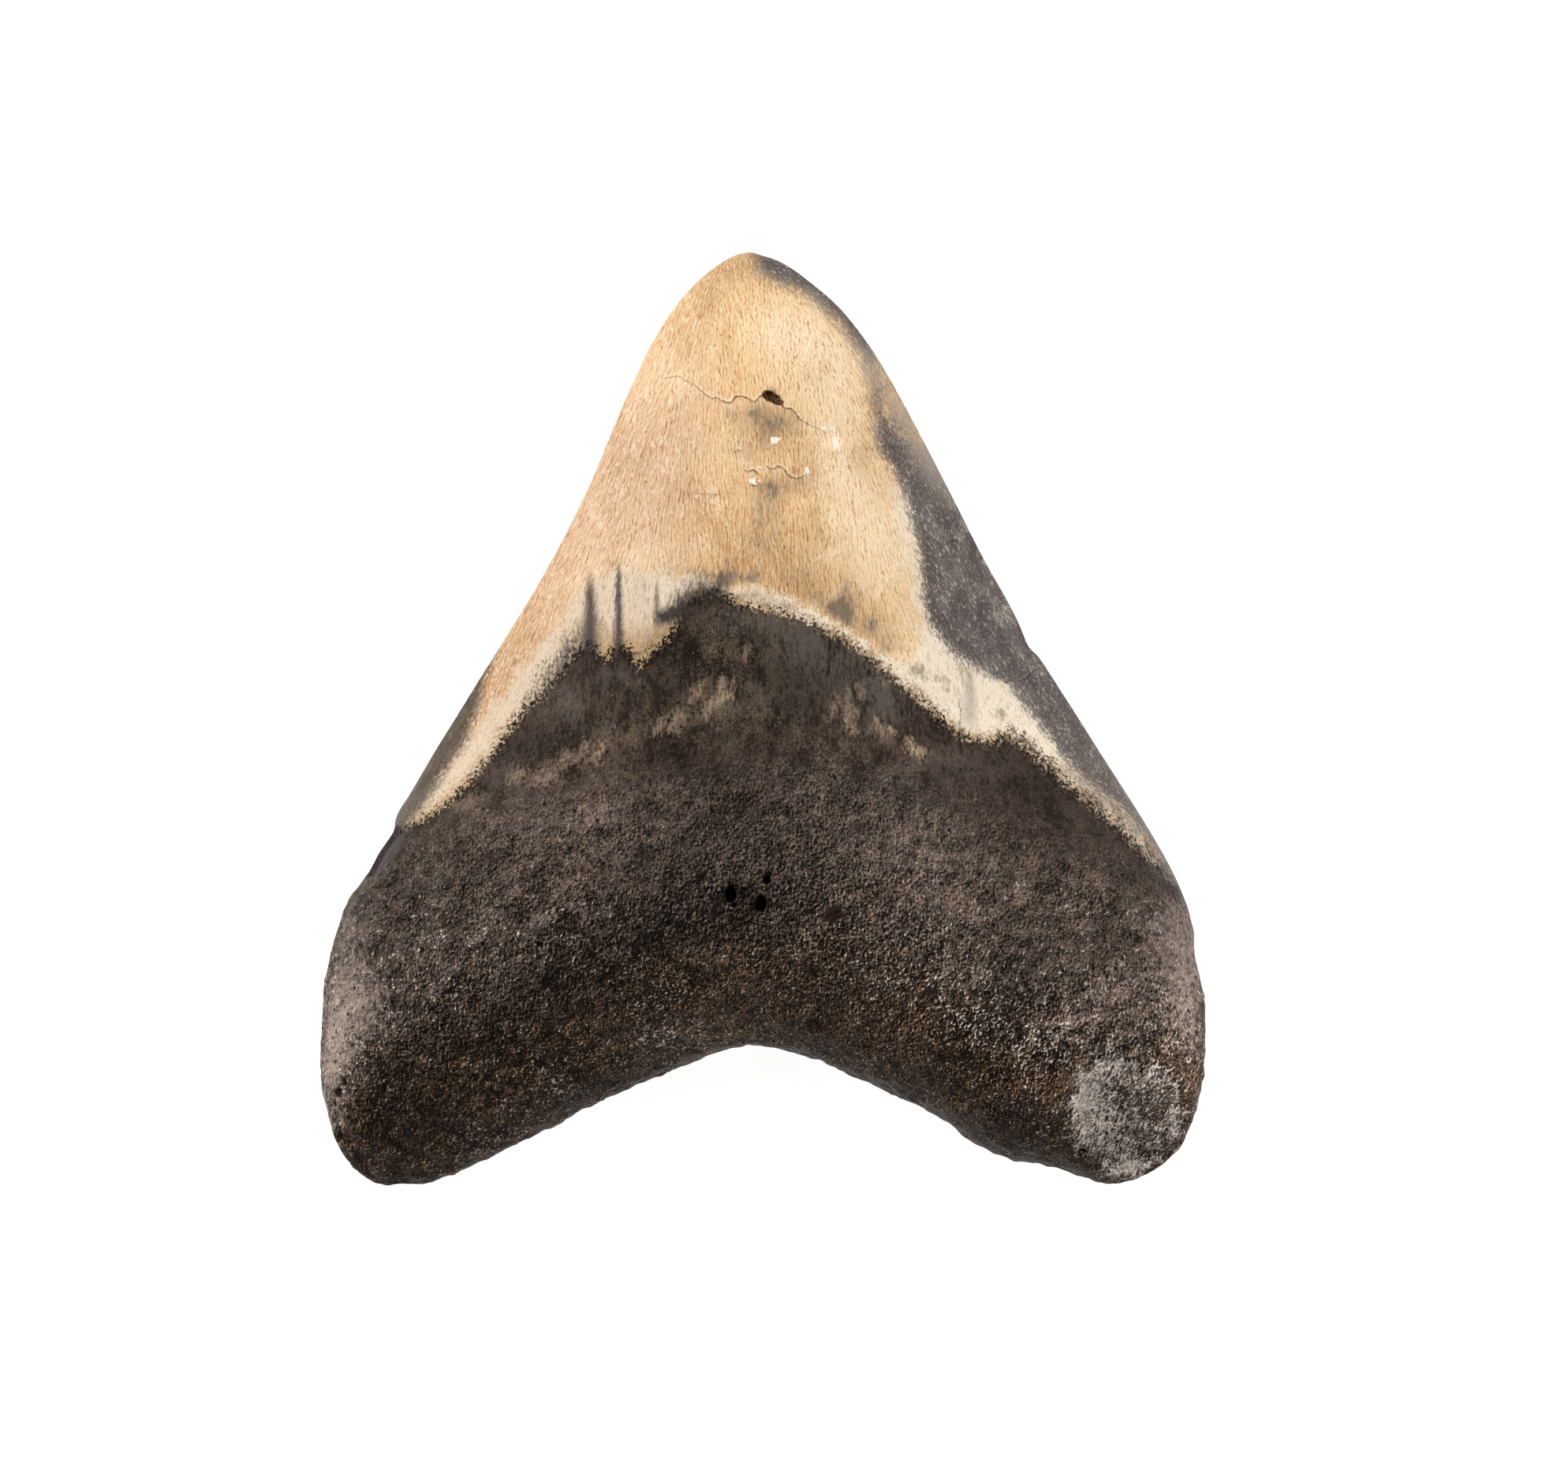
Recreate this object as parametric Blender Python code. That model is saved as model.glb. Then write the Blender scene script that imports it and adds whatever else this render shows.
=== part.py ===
"""A fossil megalodon tooth: one solid piece, lying on its flat outer face.

X runs across the root, +Y from the root to the tip, and +Z up, out of the rounded inner face that
carries the root's hump. The origin is under the middle of the tooth's box, on the surface that it
lies on. Shapes are drawn in millimetres and scaled to the driving dimensions when the mesh is made.
"""

import bpy
import numpy as np
from mathutils import Vector, noise
from mathutils.geometry import delaunay_2d_cdt

# Driving dimensions, in metres.
TOOTH_WIDTH = 0.1118  # across the two root lobes
TOOTH_LENGTH = 0.1186  # from the lobes' ends to the tip, square to the width
TOOTH_THICKNESS = 0.0262  # through the hump of the root

# The outline seen from above, in millimetres, anticlockwise from the tip.
LEFT_CUTTING_EDGE = [
    (-1.6, 59.2), (-3.2, 58.9), (-6.1, 57.3), (-10.4, 53.3), (-13.2, 49.3), (-17.2, 41.3), (-22.2, 29.3),
    (-28.4, 17.3), (-35.8, 5.3), (-43.1, -6.7), (-45.2, -10.3), (-46.8, -13.2),
]
LEFT_CHIP = [(-46.7, -14.5), (-48.6, -16.9), (-49.9, -19.6)]
LEFT_LOBE = [
    (-52.1, -22.6), (-53.9, -26.8), (-55.3, -32.7), (-55.9, -39.5), (-55.4, -48.7), (-54.2, -53.4),
    (-50.9, -58.0), (-47.8, -59.3), (-44.9, -59.4),
]
ROOT_ARCH = [
    (-40.6, -58.4), (-36.8, -56.7), (-28.4, -52.8), (-21.1, -48.8), (-11.9, -44.7), (-6.4, -42.7),
    (-1.2, -41.4), (4.6, -42.6), (13.6, -46.5), (22.0, -50.5), (28.4, -54.9), (31.0, -56.0), (36.6, -56.8),
    (41.2, -58.6), (43.0, -58.9),
]
RIGHT_LOBE = [
    (48.1, -58.2), (50.6, -56.7), (53.4, -53.2), (54.9, -49.0), (55.9, -39.6), (55.5, -34.6), (54.5, -30.2),
    (54.3, -26.8), (53.2, -23.0), (51.6, -19.3),
]
RIGHT_CUTTING_EDGE = [
    (47.9, -12.7), (44.1, -6.7), (36.5, 5.3), (34.9, 7.8),
]
RIGHT_CHIP = [(33.7, 8.7), (33.0, 10.6)]
RIGHT_TIP_EDGE = [
    (32.2, 12.4), (28.4, 19.3), (22.3, 31.3), (18.1, 39.3), (13.4, 47.3), (10.3, 51.3), (6.0, 55.2),
    (1.8, 58.1), (-0.6, 58.8),
]

# The lines that cross the inner face, from left to right: the enamel ends at the first, and the smooth
# dark band below it, the bourlette, ends in the root's rougher bone at the second.
ENAMEL_BORDER = [
    (-46.6, -14.7), (-40.2, -11.4), (-36.6, -7.7), (-32.4, -2.1), (-27.9, 3.5), (-24.0, 8.0), (-19.8, 7.2),
    (-15.8, 7.4), (-12.6, 10.6), (-9.0, 12.9), (-5.7, 14.4), (-2.6, 15.2), (0.4, 14.8), (6.1, 12.2),
    (13.7, 6.7), (20.6, 0.8), (26.1, -3.0), (31.2, -3.9), (38.8, -9.2), (45.7, -14.7), (50.6, -19.4),
]
ROOT_LINE = [
    (-45.6, -15.0), (-37.0, -11.2), (-31.5, -9.8), (-24.0, -8.3), (-15.0, -7.0), (-7.0, -5.9), (0.0, -5.0),
    (8.0, -4.9), (16.4, -6.2), (23.3, -9.2), (30.2, -12.0), (37.0, -14.8), (44.0, -17.2), (50.2, -20.2),
]
BOURLETTE_DEPTH = 0.45  # how far the band lies below the enamel and the bone
ENAMEL_STEP = 0.8  # widths of the slopes down into the band
ROOT_STEP = 1.8

# Heights above the surface that the tooth lies on, in millimetres.
CREST = [  # the inner face's highest line, by distance from the root's arched base
    (0, 26.2), (8, 26.5), (16, 26.6), (22, 25.9), (27, 24.1), (32, 21.8), (38, 19.4), (46, 18.0),
    (58, 16.0), (72, 13.2), (84, 10.2), (92, 7.5), (97.5, 5.2), (100.6, 3.3),
]
BASAL_SLOPE = [(-56, 22), (-36, 27), (-18, 28), (0, 25), (16, 19), (40, 16), (56, 15)]  # width, by X
LOBE_DROP = [(0, 0.0), (12, 0.5), (30, 4.2), (45, 8.0), (56, 10.5)]  # by distance from the middle
RIM = [(-59, 7.4), (-30, 7.8), (-20, 6.2), (-10, 4.2), (10, 2.9), (45, 2.2), (59, 1.9)]  # by Y
HOLLOW = [(-22, 0.0), (-14, 0.3), (-4, 1.0), (12, 1.4), (30, 0.9), (45, 0.1), (50, 0.0), (56, 0.0), (59, 0.4)]

ROOT_BLEND = (20, 44)  # from the arched base: the root's blocky section gives way to the crown's arc
ARCH_BLEND = (15, 45)  # from the arched base: lengths follow the arch below this and run straight above
SIDE_ROUNDING = 13.0
UNDERSIDE_ROUNDING = 8.0
EDGE_BAND = 0.7  # thickness that wear has left on the cutting edges

# (x, y, radius, depth): the vessel openings, one plugged with sediment, and the hole in the enamel.
PITS = [
    (-3.9, -22.0, 0.95, 2.0), (-0.2, -23.2, 0.85, 1.8), (0.4, -20.2, 0.65, 1.4), (9.2, -24.9, 0.9, 0.4),
    (1.2, 40.5, 1.0, 0.6),
]
LOBE_BREAK = {"x": 46.5, "y": -51.0, "height": 13.3, "fall_x": 0.42, "fall_y": 0.6}  # a broken lobe end
LUMPS = [(13.0, 0.65), (5.5, 0.3)]  # width and height of the root's undulations
SOFTNESS = 0.5  # how far the rim of the broken end is worn round

# Triangle sizes, in millimetres.
OUTLINE_STEP = 2.15
RIM_RINGS_ABOVE = (0.35, 1.1, 2.2, 3.7)  # distances in from the outline
RIM_RINGS_BELOW = (0.9, 2.6, 5.0)
SPACING_ABOVE = 2.15
SPACING_BELOW = 3.6
MM = 0.001


def clear_scene():
    for thing in list(bpy.data.objects):
        bpy.data.objects.remove(thing)


def smooth_step(value, low, high):
    share = np.clip((value - low) / (high - low), 0, 1)
    return share * share * (3 - 2 * share)


def through(pairs):
    """A smooth curve through (position, value) pairs, level past both ends."""
    at, value = np.array(pairs, float).T
    slope = np.gradient(value, at)

    def curve(position):
        position = np.clip(position, at[0], at[-1])
        i = np.clip(np.searchsorted(at, position) - 1, 0, len(at) - 2)
        span = at[i + 1] - at[i]
        t = (position - at[i]) / span
        start = value[i] * (1 + 2 * t) * (1 - t) ** 2 + slope[i] * span * t * (1 - t) ** 2
        end = value[i + 1] * t * t * (3 - 2 * t) - slope[i + 1] * span * t * t * (1 - t)
        return start + end

    return curve


def smooth_loop(corners, step):
    """Points about a step apart on a smooth closed curve that passes through every corner."""
    corners = np.array(corners, float)
    count = len(corners)
    found = []
    for i in range(count):
        a, b, c, d = (corners[(i + k) % count] for k in (-1, 0, 1, 2))
        gaps = [np.linalg.norm(q - p) for p, q in ((a, b), (b, c), (c, d))]
        start = ((b - a) * gaps[1] / gaps[0] + (c - b) * gaps[0] / gaps[1]) * gaps[1] / (gaps[0] + gaps[1])
        end = ((c - b) * gaps[2] / gaps[1] + (d - c) * gaps[1] / gaps[2]) * gaps[1] / (gaps[1] + gaps[2])
        for t in np.arange(max(1, round(gaps[1] / step))) / max(1, round(gaps[1] / step)):
            found.append(
                b * (1 + 2 * t) * (1 - t) ** 2
                + start * t * (1 - t) ** 2
                + c * t * t * (3 - 2 * t)
                - end * t * t * (1 - t)
            )
    return np.array(found)


def distance_to(points, line, closed=False):
    """Each point's distance to a line drawn through some points."""
    starts, ends = (line, np.roll(line, -1, axis=0)) if closed else (line[:-1], line[1:])
    along = ends - starts
    offset = points[:, None, :] - starts[None, :, :]
    share = np.clip((offset * along).sum(2) / (along * along).sum(1), 0, 1)
    return np.linalg.norm(offset - share[..., None] * along, axis=2).min(1)


def rows_beside(line, offset, step):
    """Points a step apart in two rows, one on each side of a line at the given offset."""
    line = np.array(line, float)
    run = np.concatenate([[0], np.cumsum(np.linalg.norm(np.diff(line, axis=0), axis=1))])
    at = np.linspace(0, run[-1], round(run[-1] / step))
    middle = np.stack([np.interp(at, run, line[:, 0]), np.interp(at, run, line[:, 1])], axis=1)
    along = np.gradient(middle, axis=0)
    along /= np.linalg.norm(along, axis=1)[:, None]
    square = np.stack([-along[:, 1], along[:, 0]], axis=1) * offset
    return np.vstack([middle + square, middle - square])


def rounded(distance, radius):
    """A quarter circle: 0 at the edge, 1 once a radius in from it."""
    return np.sqrt(1 - (1 - np.clip(distance / radius, 0, 1)) ** 2)


class ToothForm:
    """The tooth's outline, and the height of both faces over any point inside it."""

    def __init__(self):
        arch = RIGHT_LOBE[:1] + ROOT_ARCH[::-1] + LEFT_LOBE[-1:]
        corners = (
            LEFT_CUTTING_EDGE + LEFT_CHIP + LEFT_LOBE + ROOT_ARCH
            + RIGHT_LOBE + RIGHT_CUTTING_EDGE + RIGHT_CHIP + RIGHT_TIP_EDGE
        )
        self.outline = smooth_loop(corners, OUTLINE_STEP)
        self.arch = np.array(arch, float)
        left_end = int(np.argmin(np.linalg.norm(self.outline - LEFT_LOBE[-1], axis=1)))
        right_end = int(np.argmin(np.linalg.norm(self.outline - RIGHT_LOBE[0], axis=1)))
        self.left = self.outline[: left_end + 1]
        self.right = np.vstack([self.outline[right_end:], self.outline[:1]])
        self.sides = np.vstack([self.right, self.left[1:]])
        self.crest, self.lobe_drop = through(CREST), through(LOBE_DROP)
        self.rim, self.hollow = through(RIM), through(HOLLOW)
        self.basal_slope = through(BASAL_SLOPE)

    def across(self, points):
        """How far across the tooth each point lies, from -1 at the left side to 1 at the right."""
        x, y = points.T
        left = np.interp(-y, -self.left[:, 1], self.left[:, 0])
        right = np.interp(y, self.right[:, 1], self.right[:, 0])
        return np.clip((2 * x - left - right) / np.maximum(right - left, 1e-6), -1, 1)

    def bourlette(self, points):
        """1 in the band between the root line and the enamel's border, 0 outside it."""
        share = 1
        for line, width, side in ((ROOT_LINE, ROOT_STEP, 1), (ENAMEL_BORDER, ENAMEL_STEP, -1)):
            line = np.array(line)
            beyond = side * np.sign(points[:, 1] - np.interp(points[:, 0], *line.T))
            share = share * smooth_step(beyond * distance_to(points, line), -width / 2, width / 2)
        return share

    def lumps(self, points):
        return sum(
            height * np.array([noise.noise(Vector((x / size, y / size, 0.0))) for x, y in points])
            for size, height in LUMPS
        )

    def above(self, points):
        """The rounded inner face: the crown's arc, the hump of the root and the two lobes."""
        x, y = points.T
        base = distance_to(points, self.arch)
        side = distance_to(points, self.sides)
        lengthways = smooth_step(base, *ARCH_BLEND)
        reach = base * (1 - lengthways) + (y - self.arch[:, 1].max()) * lengthways
        root = 1 - smooth_step(reach, *ROOT_BLEND)
        crest = self.crest(reach) - self.lobe_drop(np.abs(x)) * root
        crown_section = 1 - np.abs(self.across(points)) ** 2.1
        section = crown_section * (1 - root) + rounded(side, SIDE_ROUNDING) * root
        rim = self.rim(y) + EDGE_BAND / 2
        inside = smooth_step(np.minimum(base, side), 0, 6)
        height = rim + (crest - rim) * section * rounded(base, self.basal_slope(x))
        height += self.lumps(points) * inside * root
        height -= BOURLETTE_DEPTH * self.bourlette(points) * inside
        return np.maximum(self.worn(points, height), rim)

    def worn(self, points, height):
        """The height once the pits are sunk and the right lobe's end is broken off along a slope."""
        for x, y, radius, depth in PITS:
            away = np.linalg.norm(points - (x, y), axis=1)
            height = height - depth * (1 - smooth_step(away, 0.35 * radius, 1.15 * radius))
        scar = LOBE_BREAK
        x, y = points.T
        slope = scar["height"] - scar["fall_x"] * (x - scar["x"]) + scar["fall_y"] * (y - scar["y"])
        gap = slope - height
        return np.where(x > 0, (height + slope - np.sqrt(gap * gap + SOFTNESS**2)) / 2, height)

    def below(self, points):
        """The flat outer face: it rests on the root and near the tip, and is a little hollow between."""
        y = points[:, 1]
        edge = distance_to(points, self.outline, closed=True)
        base = distance_to(points, self.arch)
        root = 1 - smooth_step(base, *ROOT_BLEND)
        rim = self.rim(y) - EDGE_BAND / 2
        hollow = self.hollow(y)
        crown = hollow + (rim - hollow) * np.abs(self.across(points)) ** 3
        block = rim * (1 - rounded(edge, UNDERSIDE_ROUNDING))
        return np.clip(crown * (1 - root) + block * root, 0, rim)

    def spread(self, rings, spacing, pits=(), lines=()):
        """Points inside the outline: rings along it, an even field, rows beside lines and rings at pits."""
        ahead, behind = np.roll(self.outline, -1, axis=0), np.roll(self.outline, 1, axis=0)
        run = (ahead - behind) / np.linalg.norm(ahead - behind, axis=1)[:, None]
        inward = np.stack([-run[:, 1], run[:, 0]], axis=1)
        kept = []
        for depth in rings:
            ring = self.outline + inward * depth
            clear = distance_to(ring, self.outline, closed=True) > 0.94 * depth
            kept.append(ring[clear])
        low, high = self.outline.min(0), self.outline.max(0)
        rows = np.arange(low[1], high[1], spacing * 3**0.5 / 2)
        field = np.array([
            (x + (i % 2) * spacing / 2, y) for i, y in enumerate(rows) for x in np.arange(low[0], high[0], spacing)
        ])
        field = field[self.contains(field)]
        field = field[distance_to(field, self.outline, closed=True) > rings[-1] + 0.6 * spacing]
        for line, width in lines:
            row = rows_beside(line, width / 2, OUTLINE_STEP)
            row = row[self.contains(row) & (distance_to(row, self.outline, closed=True) > rings[-1])]
            field = field[distance_to(field, np.array(line)) > width / 2 + 0.5 * spacing]
            kept.append(row)
        kept.append(field)
        points = np.vstack(kept)
        for x, y, radius, _ in pits:
            points = points[np.linalg.norm(points - (x, y), axis=1) > 1.9 * radius]
            for share, count in ((0.0, 1), (0.45, 6), (0.85, 9), (1.3, 10)):
                turn = np.arange(count) / count * 2 * np.pi
                around = np.stack([np.cos(turn), np.sin(turn)], axis=1) * share * radius
                points = np.vstack([points, around + (x, y)])
        return points

    def contains(self, points):
        """True for each point inside the outline, by counting the edges that a level ray crosses."""
        x, y = points[:, None, 0], points[:, None, 1]
        (ax, ay), (bx, by) = self.outline.T, np.roll(self.outline, -1, axis=0).T
        spans = (ay > y) != (by > y)
        crossing = ax + (y - ay) * (bx - ax) / np.where(ay == by, 1, by - ay)
        return (spans & (x < crossing)).sum(1) % 2 == 1


def triangles_in(outline, inner):
    """Triangles that fill the outline, as indices into the outline's points and then the inner ones."""
    places = [Vector(p) for p in np.vstack([outline, inner])]
    border = list(range(len(outline)))
    _, _, faces, sources, _, _ = delaunay_2d_cdt(places, [], [border], 1, 1e-5)
    return [[sources[corner][0] for corner in face] for face in faces]


def tooth_mesh(form):
    """One closed mesh: the inner face, the outer face, and a narrow band round the worn edge."""
    outline = form.outline
    steps = [(ENAMEL_BORDER, ENAMEL_STEP), (ROOT_LINE, ROOT_STEP)]
    upper = form.spread(RIM_RINGS_ABOVE, SPACING_ABOVE, PITS, steps)
    lower = form.spread(RIM_RINGS_BELOW, SPACING_BELOW)
    rim = form.rim(outline[:, 1])
    layers = [
        np.column_stack([outline, rim + EDGE_BAND / 2]),
        np.column_stack([upper, form.above(upper)]),
        np.column_stack([outline, rim - EDGE_BAND / 2]),
        np.column_stack([lower, form.below(lower)]),
    ]
    count, below = len(outline), len(outline) + len(upper)
    faces = triangles_in(outline, upper)
    faces += [[below + i for i in face[::-1]] for face in triangles_in(outline, lower)]
    for i in range(count):
        j = (i + 1) % count
        faces.append([below + i, below + j, j, i])

    points = np.vstack(layers)
    low, high = points.min(0), points.max(0)
    points -= ((low[0] + high[0]) / 2, (low[1] + high[1]) / 2, low[2])
    points *= np.array([TOOTH_WIDTH, TOOTH_LENGTH, TOOTH_THICKNESS]) / (high - low)
    mesh = bpy.data.meshes.new("tooth")
    mesh.from_pydata(points.tolist(), [], faces)
    mesh.validate()
    mesh.shade_smooth()
    return mesh


def fossil_finish():
    """Mineral grey-brown, the colour of the root, with the dull shine of polished fossil bone."""
    finish = bpy.data.materials.new("fossil")
    finish.use_nodes = True
    shader = finish.node_tree.nodes["Principled BSDF"]
    shader.inputs["Base Color"].default_value = (0.12, 0.10, 0.085, 1.0)
    shader.inputs["Roughness"].default_value = 0.48
    shader.inputs["Metallic"].default_value = 0.0
    return finish


def build():
    clear_scene()
    mesh = tooth_mesh(ToothForm())
    mesh.materials.append(fossil_finish())
    tooth = bpy.data.objects.new("tooth", mesh)
    bpy.context.scene.collection.objects.link(tooth)


build()
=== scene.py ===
# A fossil megalodon tooth, lying on its flat outer face with the tip away from the viewer.
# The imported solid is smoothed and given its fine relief, then coloured by one node material.
import math

import bmesh
import bpy
import numpy as np
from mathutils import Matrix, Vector, noise


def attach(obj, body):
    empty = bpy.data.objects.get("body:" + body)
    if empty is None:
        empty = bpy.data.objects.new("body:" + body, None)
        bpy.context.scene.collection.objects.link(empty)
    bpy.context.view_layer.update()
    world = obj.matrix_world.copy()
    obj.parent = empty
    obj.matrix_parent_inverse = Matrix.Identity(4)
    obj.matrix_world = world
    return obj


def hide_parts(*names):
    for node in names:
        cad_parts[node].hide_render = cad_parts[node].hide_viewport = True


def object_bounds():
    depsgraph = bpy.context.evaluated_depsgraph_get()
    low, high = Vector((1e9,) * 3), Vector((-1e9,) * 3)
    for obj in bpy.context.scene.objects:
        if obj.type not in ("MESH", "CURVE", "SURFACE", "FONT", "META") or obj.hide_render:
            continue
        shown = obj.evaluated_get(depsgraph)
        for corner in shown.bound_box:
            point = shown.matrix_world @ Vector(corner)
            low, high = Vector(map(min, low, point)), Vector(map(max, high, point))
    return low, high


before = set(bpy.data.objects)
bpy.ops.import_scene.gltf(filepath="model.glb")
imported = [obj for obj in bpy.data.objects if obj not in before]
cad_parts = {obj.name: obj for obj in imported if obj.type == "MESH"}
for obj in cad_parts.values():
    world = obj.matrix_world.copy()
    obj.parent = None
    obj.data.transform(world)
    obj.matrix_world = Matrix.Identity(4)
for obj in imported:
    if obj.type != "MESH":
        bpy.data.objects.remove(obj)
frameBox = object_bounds()
mm = 0.001
farAway = 9.0  # millimetres, for a line that doesn't reach a point

# Lines on the tooth, in millimetres, x across and y towards the tip.

enamelBorder = [  # the lower end of the enamel on the rounded face
    (-52, -17.4), (-46.6, -14.7), (-43, -13.2), (-40.2, -11.4), (-36.6, -7.7), (-34.4, -5.2), (-32.4, -2.1),
    (-30.1, 0.7), (-27.3, 3.4), (-25.4, 5.8), (-23.6, 8.2), (-22.2, 9.4), (-21.2, 8), (-20.2, 6.9),
    (-18.6, 8.6), (-17.3, 8.8), (-15.8, 6.2), (-14.4, 7.9), (-12.4, 9.8), (-10.9, 12.2), (-8.8, 14.6),
    (-6.6, 15.6), (-4.8, 15), (-2.6, 14), (-0.1, 13.4), (2.6, 12.8), (5, 12.1), (7.7, 10.8), (10.6, 9.3),
    (14.7, 6.3), (17.1, 4.2), (20.6, 1.2), (24, -1.6), (26.1, -3), (28.8, -3.4), (31.2, -2.9), (33.6, -4.2),
    (35.7, -6.2), (38.8, -8.9), (42.2, -11.9), (45.7, -14.9), (48.8, -18), (50.6, -19.9), (56, -25),
]
creamTop = [  # the upper side of the pale band that follows the border
    (-52, -17), (-46.6, -13.6), (-41.2, -7.4), (-38.5, -3.9), (-35.6, -0.7), (-32.4, 3), (-29.3, 7.4),
    (-26.6, 11.4), (-24, 14.9), (-21.5, 16.9), (-18.5, 18.6), (-15, 18.6), (-12.8, 18.2), (-10.3, 17.8),
    (-8, 18), (-6.4, 17.2), (-5.4, 16.2), (-3.8, 16.1), (-0.5, 16.6), (1.3, 16), (4.4, 14.7), (7.8, 12.7),
    (10.6, 11.1), (13, 9.5), (16.4, 7.2), (18.5, 6.6), (20.2, 9), (21.5, 13), (23, 15), (60, 20),
]
creamLow = [  # right of here the pale band leaves the border and only follows the dark edge's stain
    (20, -3), (25, -3.4), (28.5, -2.8), (31, -1.9), (33.6, -2.9), (36.2, -5.4), (39, -8.2), (42.5, -10.9),
    (46, -13.8), (48.8, -17), (50.4, -19),
]
rootLine = [  # where the smooth dark band ends in the root's bone
    (-52, -19.6), (-45.6, -15), (-37, -11.2), (-31.5, -9.8), (-24, -8.3), (-15, -7), (-7, -5.9), (0, -5),
    (8, -4.9), (16.4, -6.2), (23.3, -9.2), (30.2, -12), (37, -14.8), (44, -17.2), (50.2, -20.2), (56, -25.6),
]
outerBorder = [  # the end of the enamel on the flat face, which has no dark band
    (-48, -16), (-36, -13.5), (-22, -7.5), (-9, -2.5), (0, -1), (10, -3), (24, -9), (38, -16), (52, -20.5),
]
rootArch = [  # the root's lower edge
    (48.1, -58.2), (43, -58.9), (36.6, -56.8), (31, -56), (28.4, -54.9), (22, -50.5), (13.6, -46.5),
    (4.6, -42.6), (-1.2, -41.4), (-6.4, -42.7), (-11.9, -44.7), (-21.1, -48.8), (-28.4, -52.8),
    (-36.8, -56.7), (-44.9, -59.4),
]
leftSide = [
    (-1.6, 59.2), (-6.1, 57.3), (-10.4, 53.3), (-13.2, 49.3), (-17.2, 41.3), (-22.2, 29.3), (-28.4, 17.3),
    (-35.8, 5.3), (-43.1, -6.7), (-46.8, -13.2), (-49.9, -19.6), (-53.9, -26.8), (-55.3, -32.7),
    (-55.9, -39.5), (-55.4, -48.7), (-54.2, -53.4), (-50.9, -58), (-47.8, -59.3),
]
rightSide = [
    (-0.6, 58.8), (1.8, 58.1), (6, 55.2), (10.3, 51.3), (13.4, 47.3), (18.1, 39.3), (22.3, 31.3),
    (28.4, 19.3), (36.5, 5.3), (44.1, -6.7), (51.6, -19.3), (54.3, -26.8), (55.9, -39.6), (54.9, -49),
    (53.4, -53.2), (50.6, -56.7), (48.1, -58.2),
]
darkBandLine = [  # the inner limit of the grey stain along the right cutting edge
    (-1.8, 59.5), (-1.6, 58), (-0.8, 56.4), (0.8, 55.3), (3, 54.3), (5.2, 53.2), (7.2, 51.7), (9.6, 49.5),
    (11.4, 46.6), (12.8, 44), (13.4, 41.2), (13.8, 38), (14.5, 34.8), (16.2, 31.6), (17.9, 28.4),
    (18.9, 24.8), (19.9, 20), (20.1, 15), (20.9, 12), (22.3, 10), (24, 7.9), (27.4, 6), (29.2, 4.9),
    (31.6, 3.6), (33, 1.5), (35.4, -1.3), (37.1, -4), (39.1, -6.4), (42.2, -9.2), (45.7, -11.9),
    (48.4, -15.4), (50.2, -18.1),
]
leftStainLine = [  # the inner limit of the grey stain low on the left cutting edge
    (-33.8, 9.5), (-35.4, 5.2), (-36.4, 1.5), (-38, -3.2), (-40.8, -7.2), (-43.4, -11.3), (-46, -14.2),
]
cracks = [  # fine cracks in the enamel, from left to right: x, y, half width
    [(-12.8, 43, 0.03), (-10.8, 43.3, 0.05), (-9.7, 42.6, 0.07), (-8.6, 42, 0.05), (-7.8, 41.3, 0.1),
     (-7.2, 40.7, 0.1), (-6.4, 40.4, 0.09), (-6, 40.6, 0.07), (-5.4, 40.1, 0.1), (-4.2, 39.8, 0.13),
     (-3.8, 40.3, 0.14), (-3.5, 40.7, 0.13), (-2.9, 40.7, 0.12), (-2.3, 40.6, 0.1), (-1.8, 40.3, 0.12),
     (-1, 40, 0.1), (-0.6, 40.6, 0.12), (0.1, 41, 0.16)],
    [(2.2, 40, 0.2), (2.6, 39.2, 0.14), (3.5, 39.1, 0.12), (4, 38.7, 0.13), (4.5, 38, 0.1),
     (5.2, 37.4, 0.06), (6.7, 36.7, 0.04), (7.8, 36.3, 0.02)],
    [(0, 32.3, 0.05), (0.6, 31.6, 0.1), (1.3, 31.4, 0.09), (1.8, 31.9, 0.1), (2.5, 31.6, 0.1),
     (3, 30.9, 0.11), (3.9, 30.2, 0.12), (4.9, 30.4, 0.07), (5.4, 30.9, 0.04)],
    [(-2.6, 31.5, 0.04), (-2, 31.1, 0.1), (-1.3, 31.4, 0.13), (-0.6, 30.8, 0.15), (-0.3, 30.2, 0.08)],
    [(-1.9, 29.7, 0.05), (-1.2, 29.3, 0.1), (-0.4, 29.5, 0.04)],
    [(-3.8, 33.6, 0.04), (-3.2, 34, 0.08), (-2.7, 33.4, 0.05)], [(-8.6, 28.4, 0.03), (-5.3, 28.2, 0.05)],
    [(13.4, 40.2, 0.01), (14.6, 41.5, 0.04), (15.2, 41.7, 0.02), (16.1, 42.5, 0.03)],
    [(14.2, 34.2, 0.01), (15.6, 34.6, 0.03), (17.2, 34.2, 0.02)],
    [(22.8, 21.6, 0.02), (23.6, 22.4, 0.04), (24.2, 22.3, 0.03), (25, 23.4, 0.03)],
    [(31.8, 4.3, 0.02), (33.2, 4.9, 0.05), (34, 5.6, 0.05), (35.3, 6.4, 0.06)],
]


def distanceTo(points, line):
    # each point's distance to a line drawn through some points
    line = np.array(line)
    starts, along = line[:-1], np.diff(line, axis=0)
    offset = points[:, None, :] - starts[None, :, :]
    share = np.clip((offset * along).sum(2) / (along * along).sum(1), 0, 1)
    return np.linalg.norm(offset - share[..., None] * along, axis=2).min(1)


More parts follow.
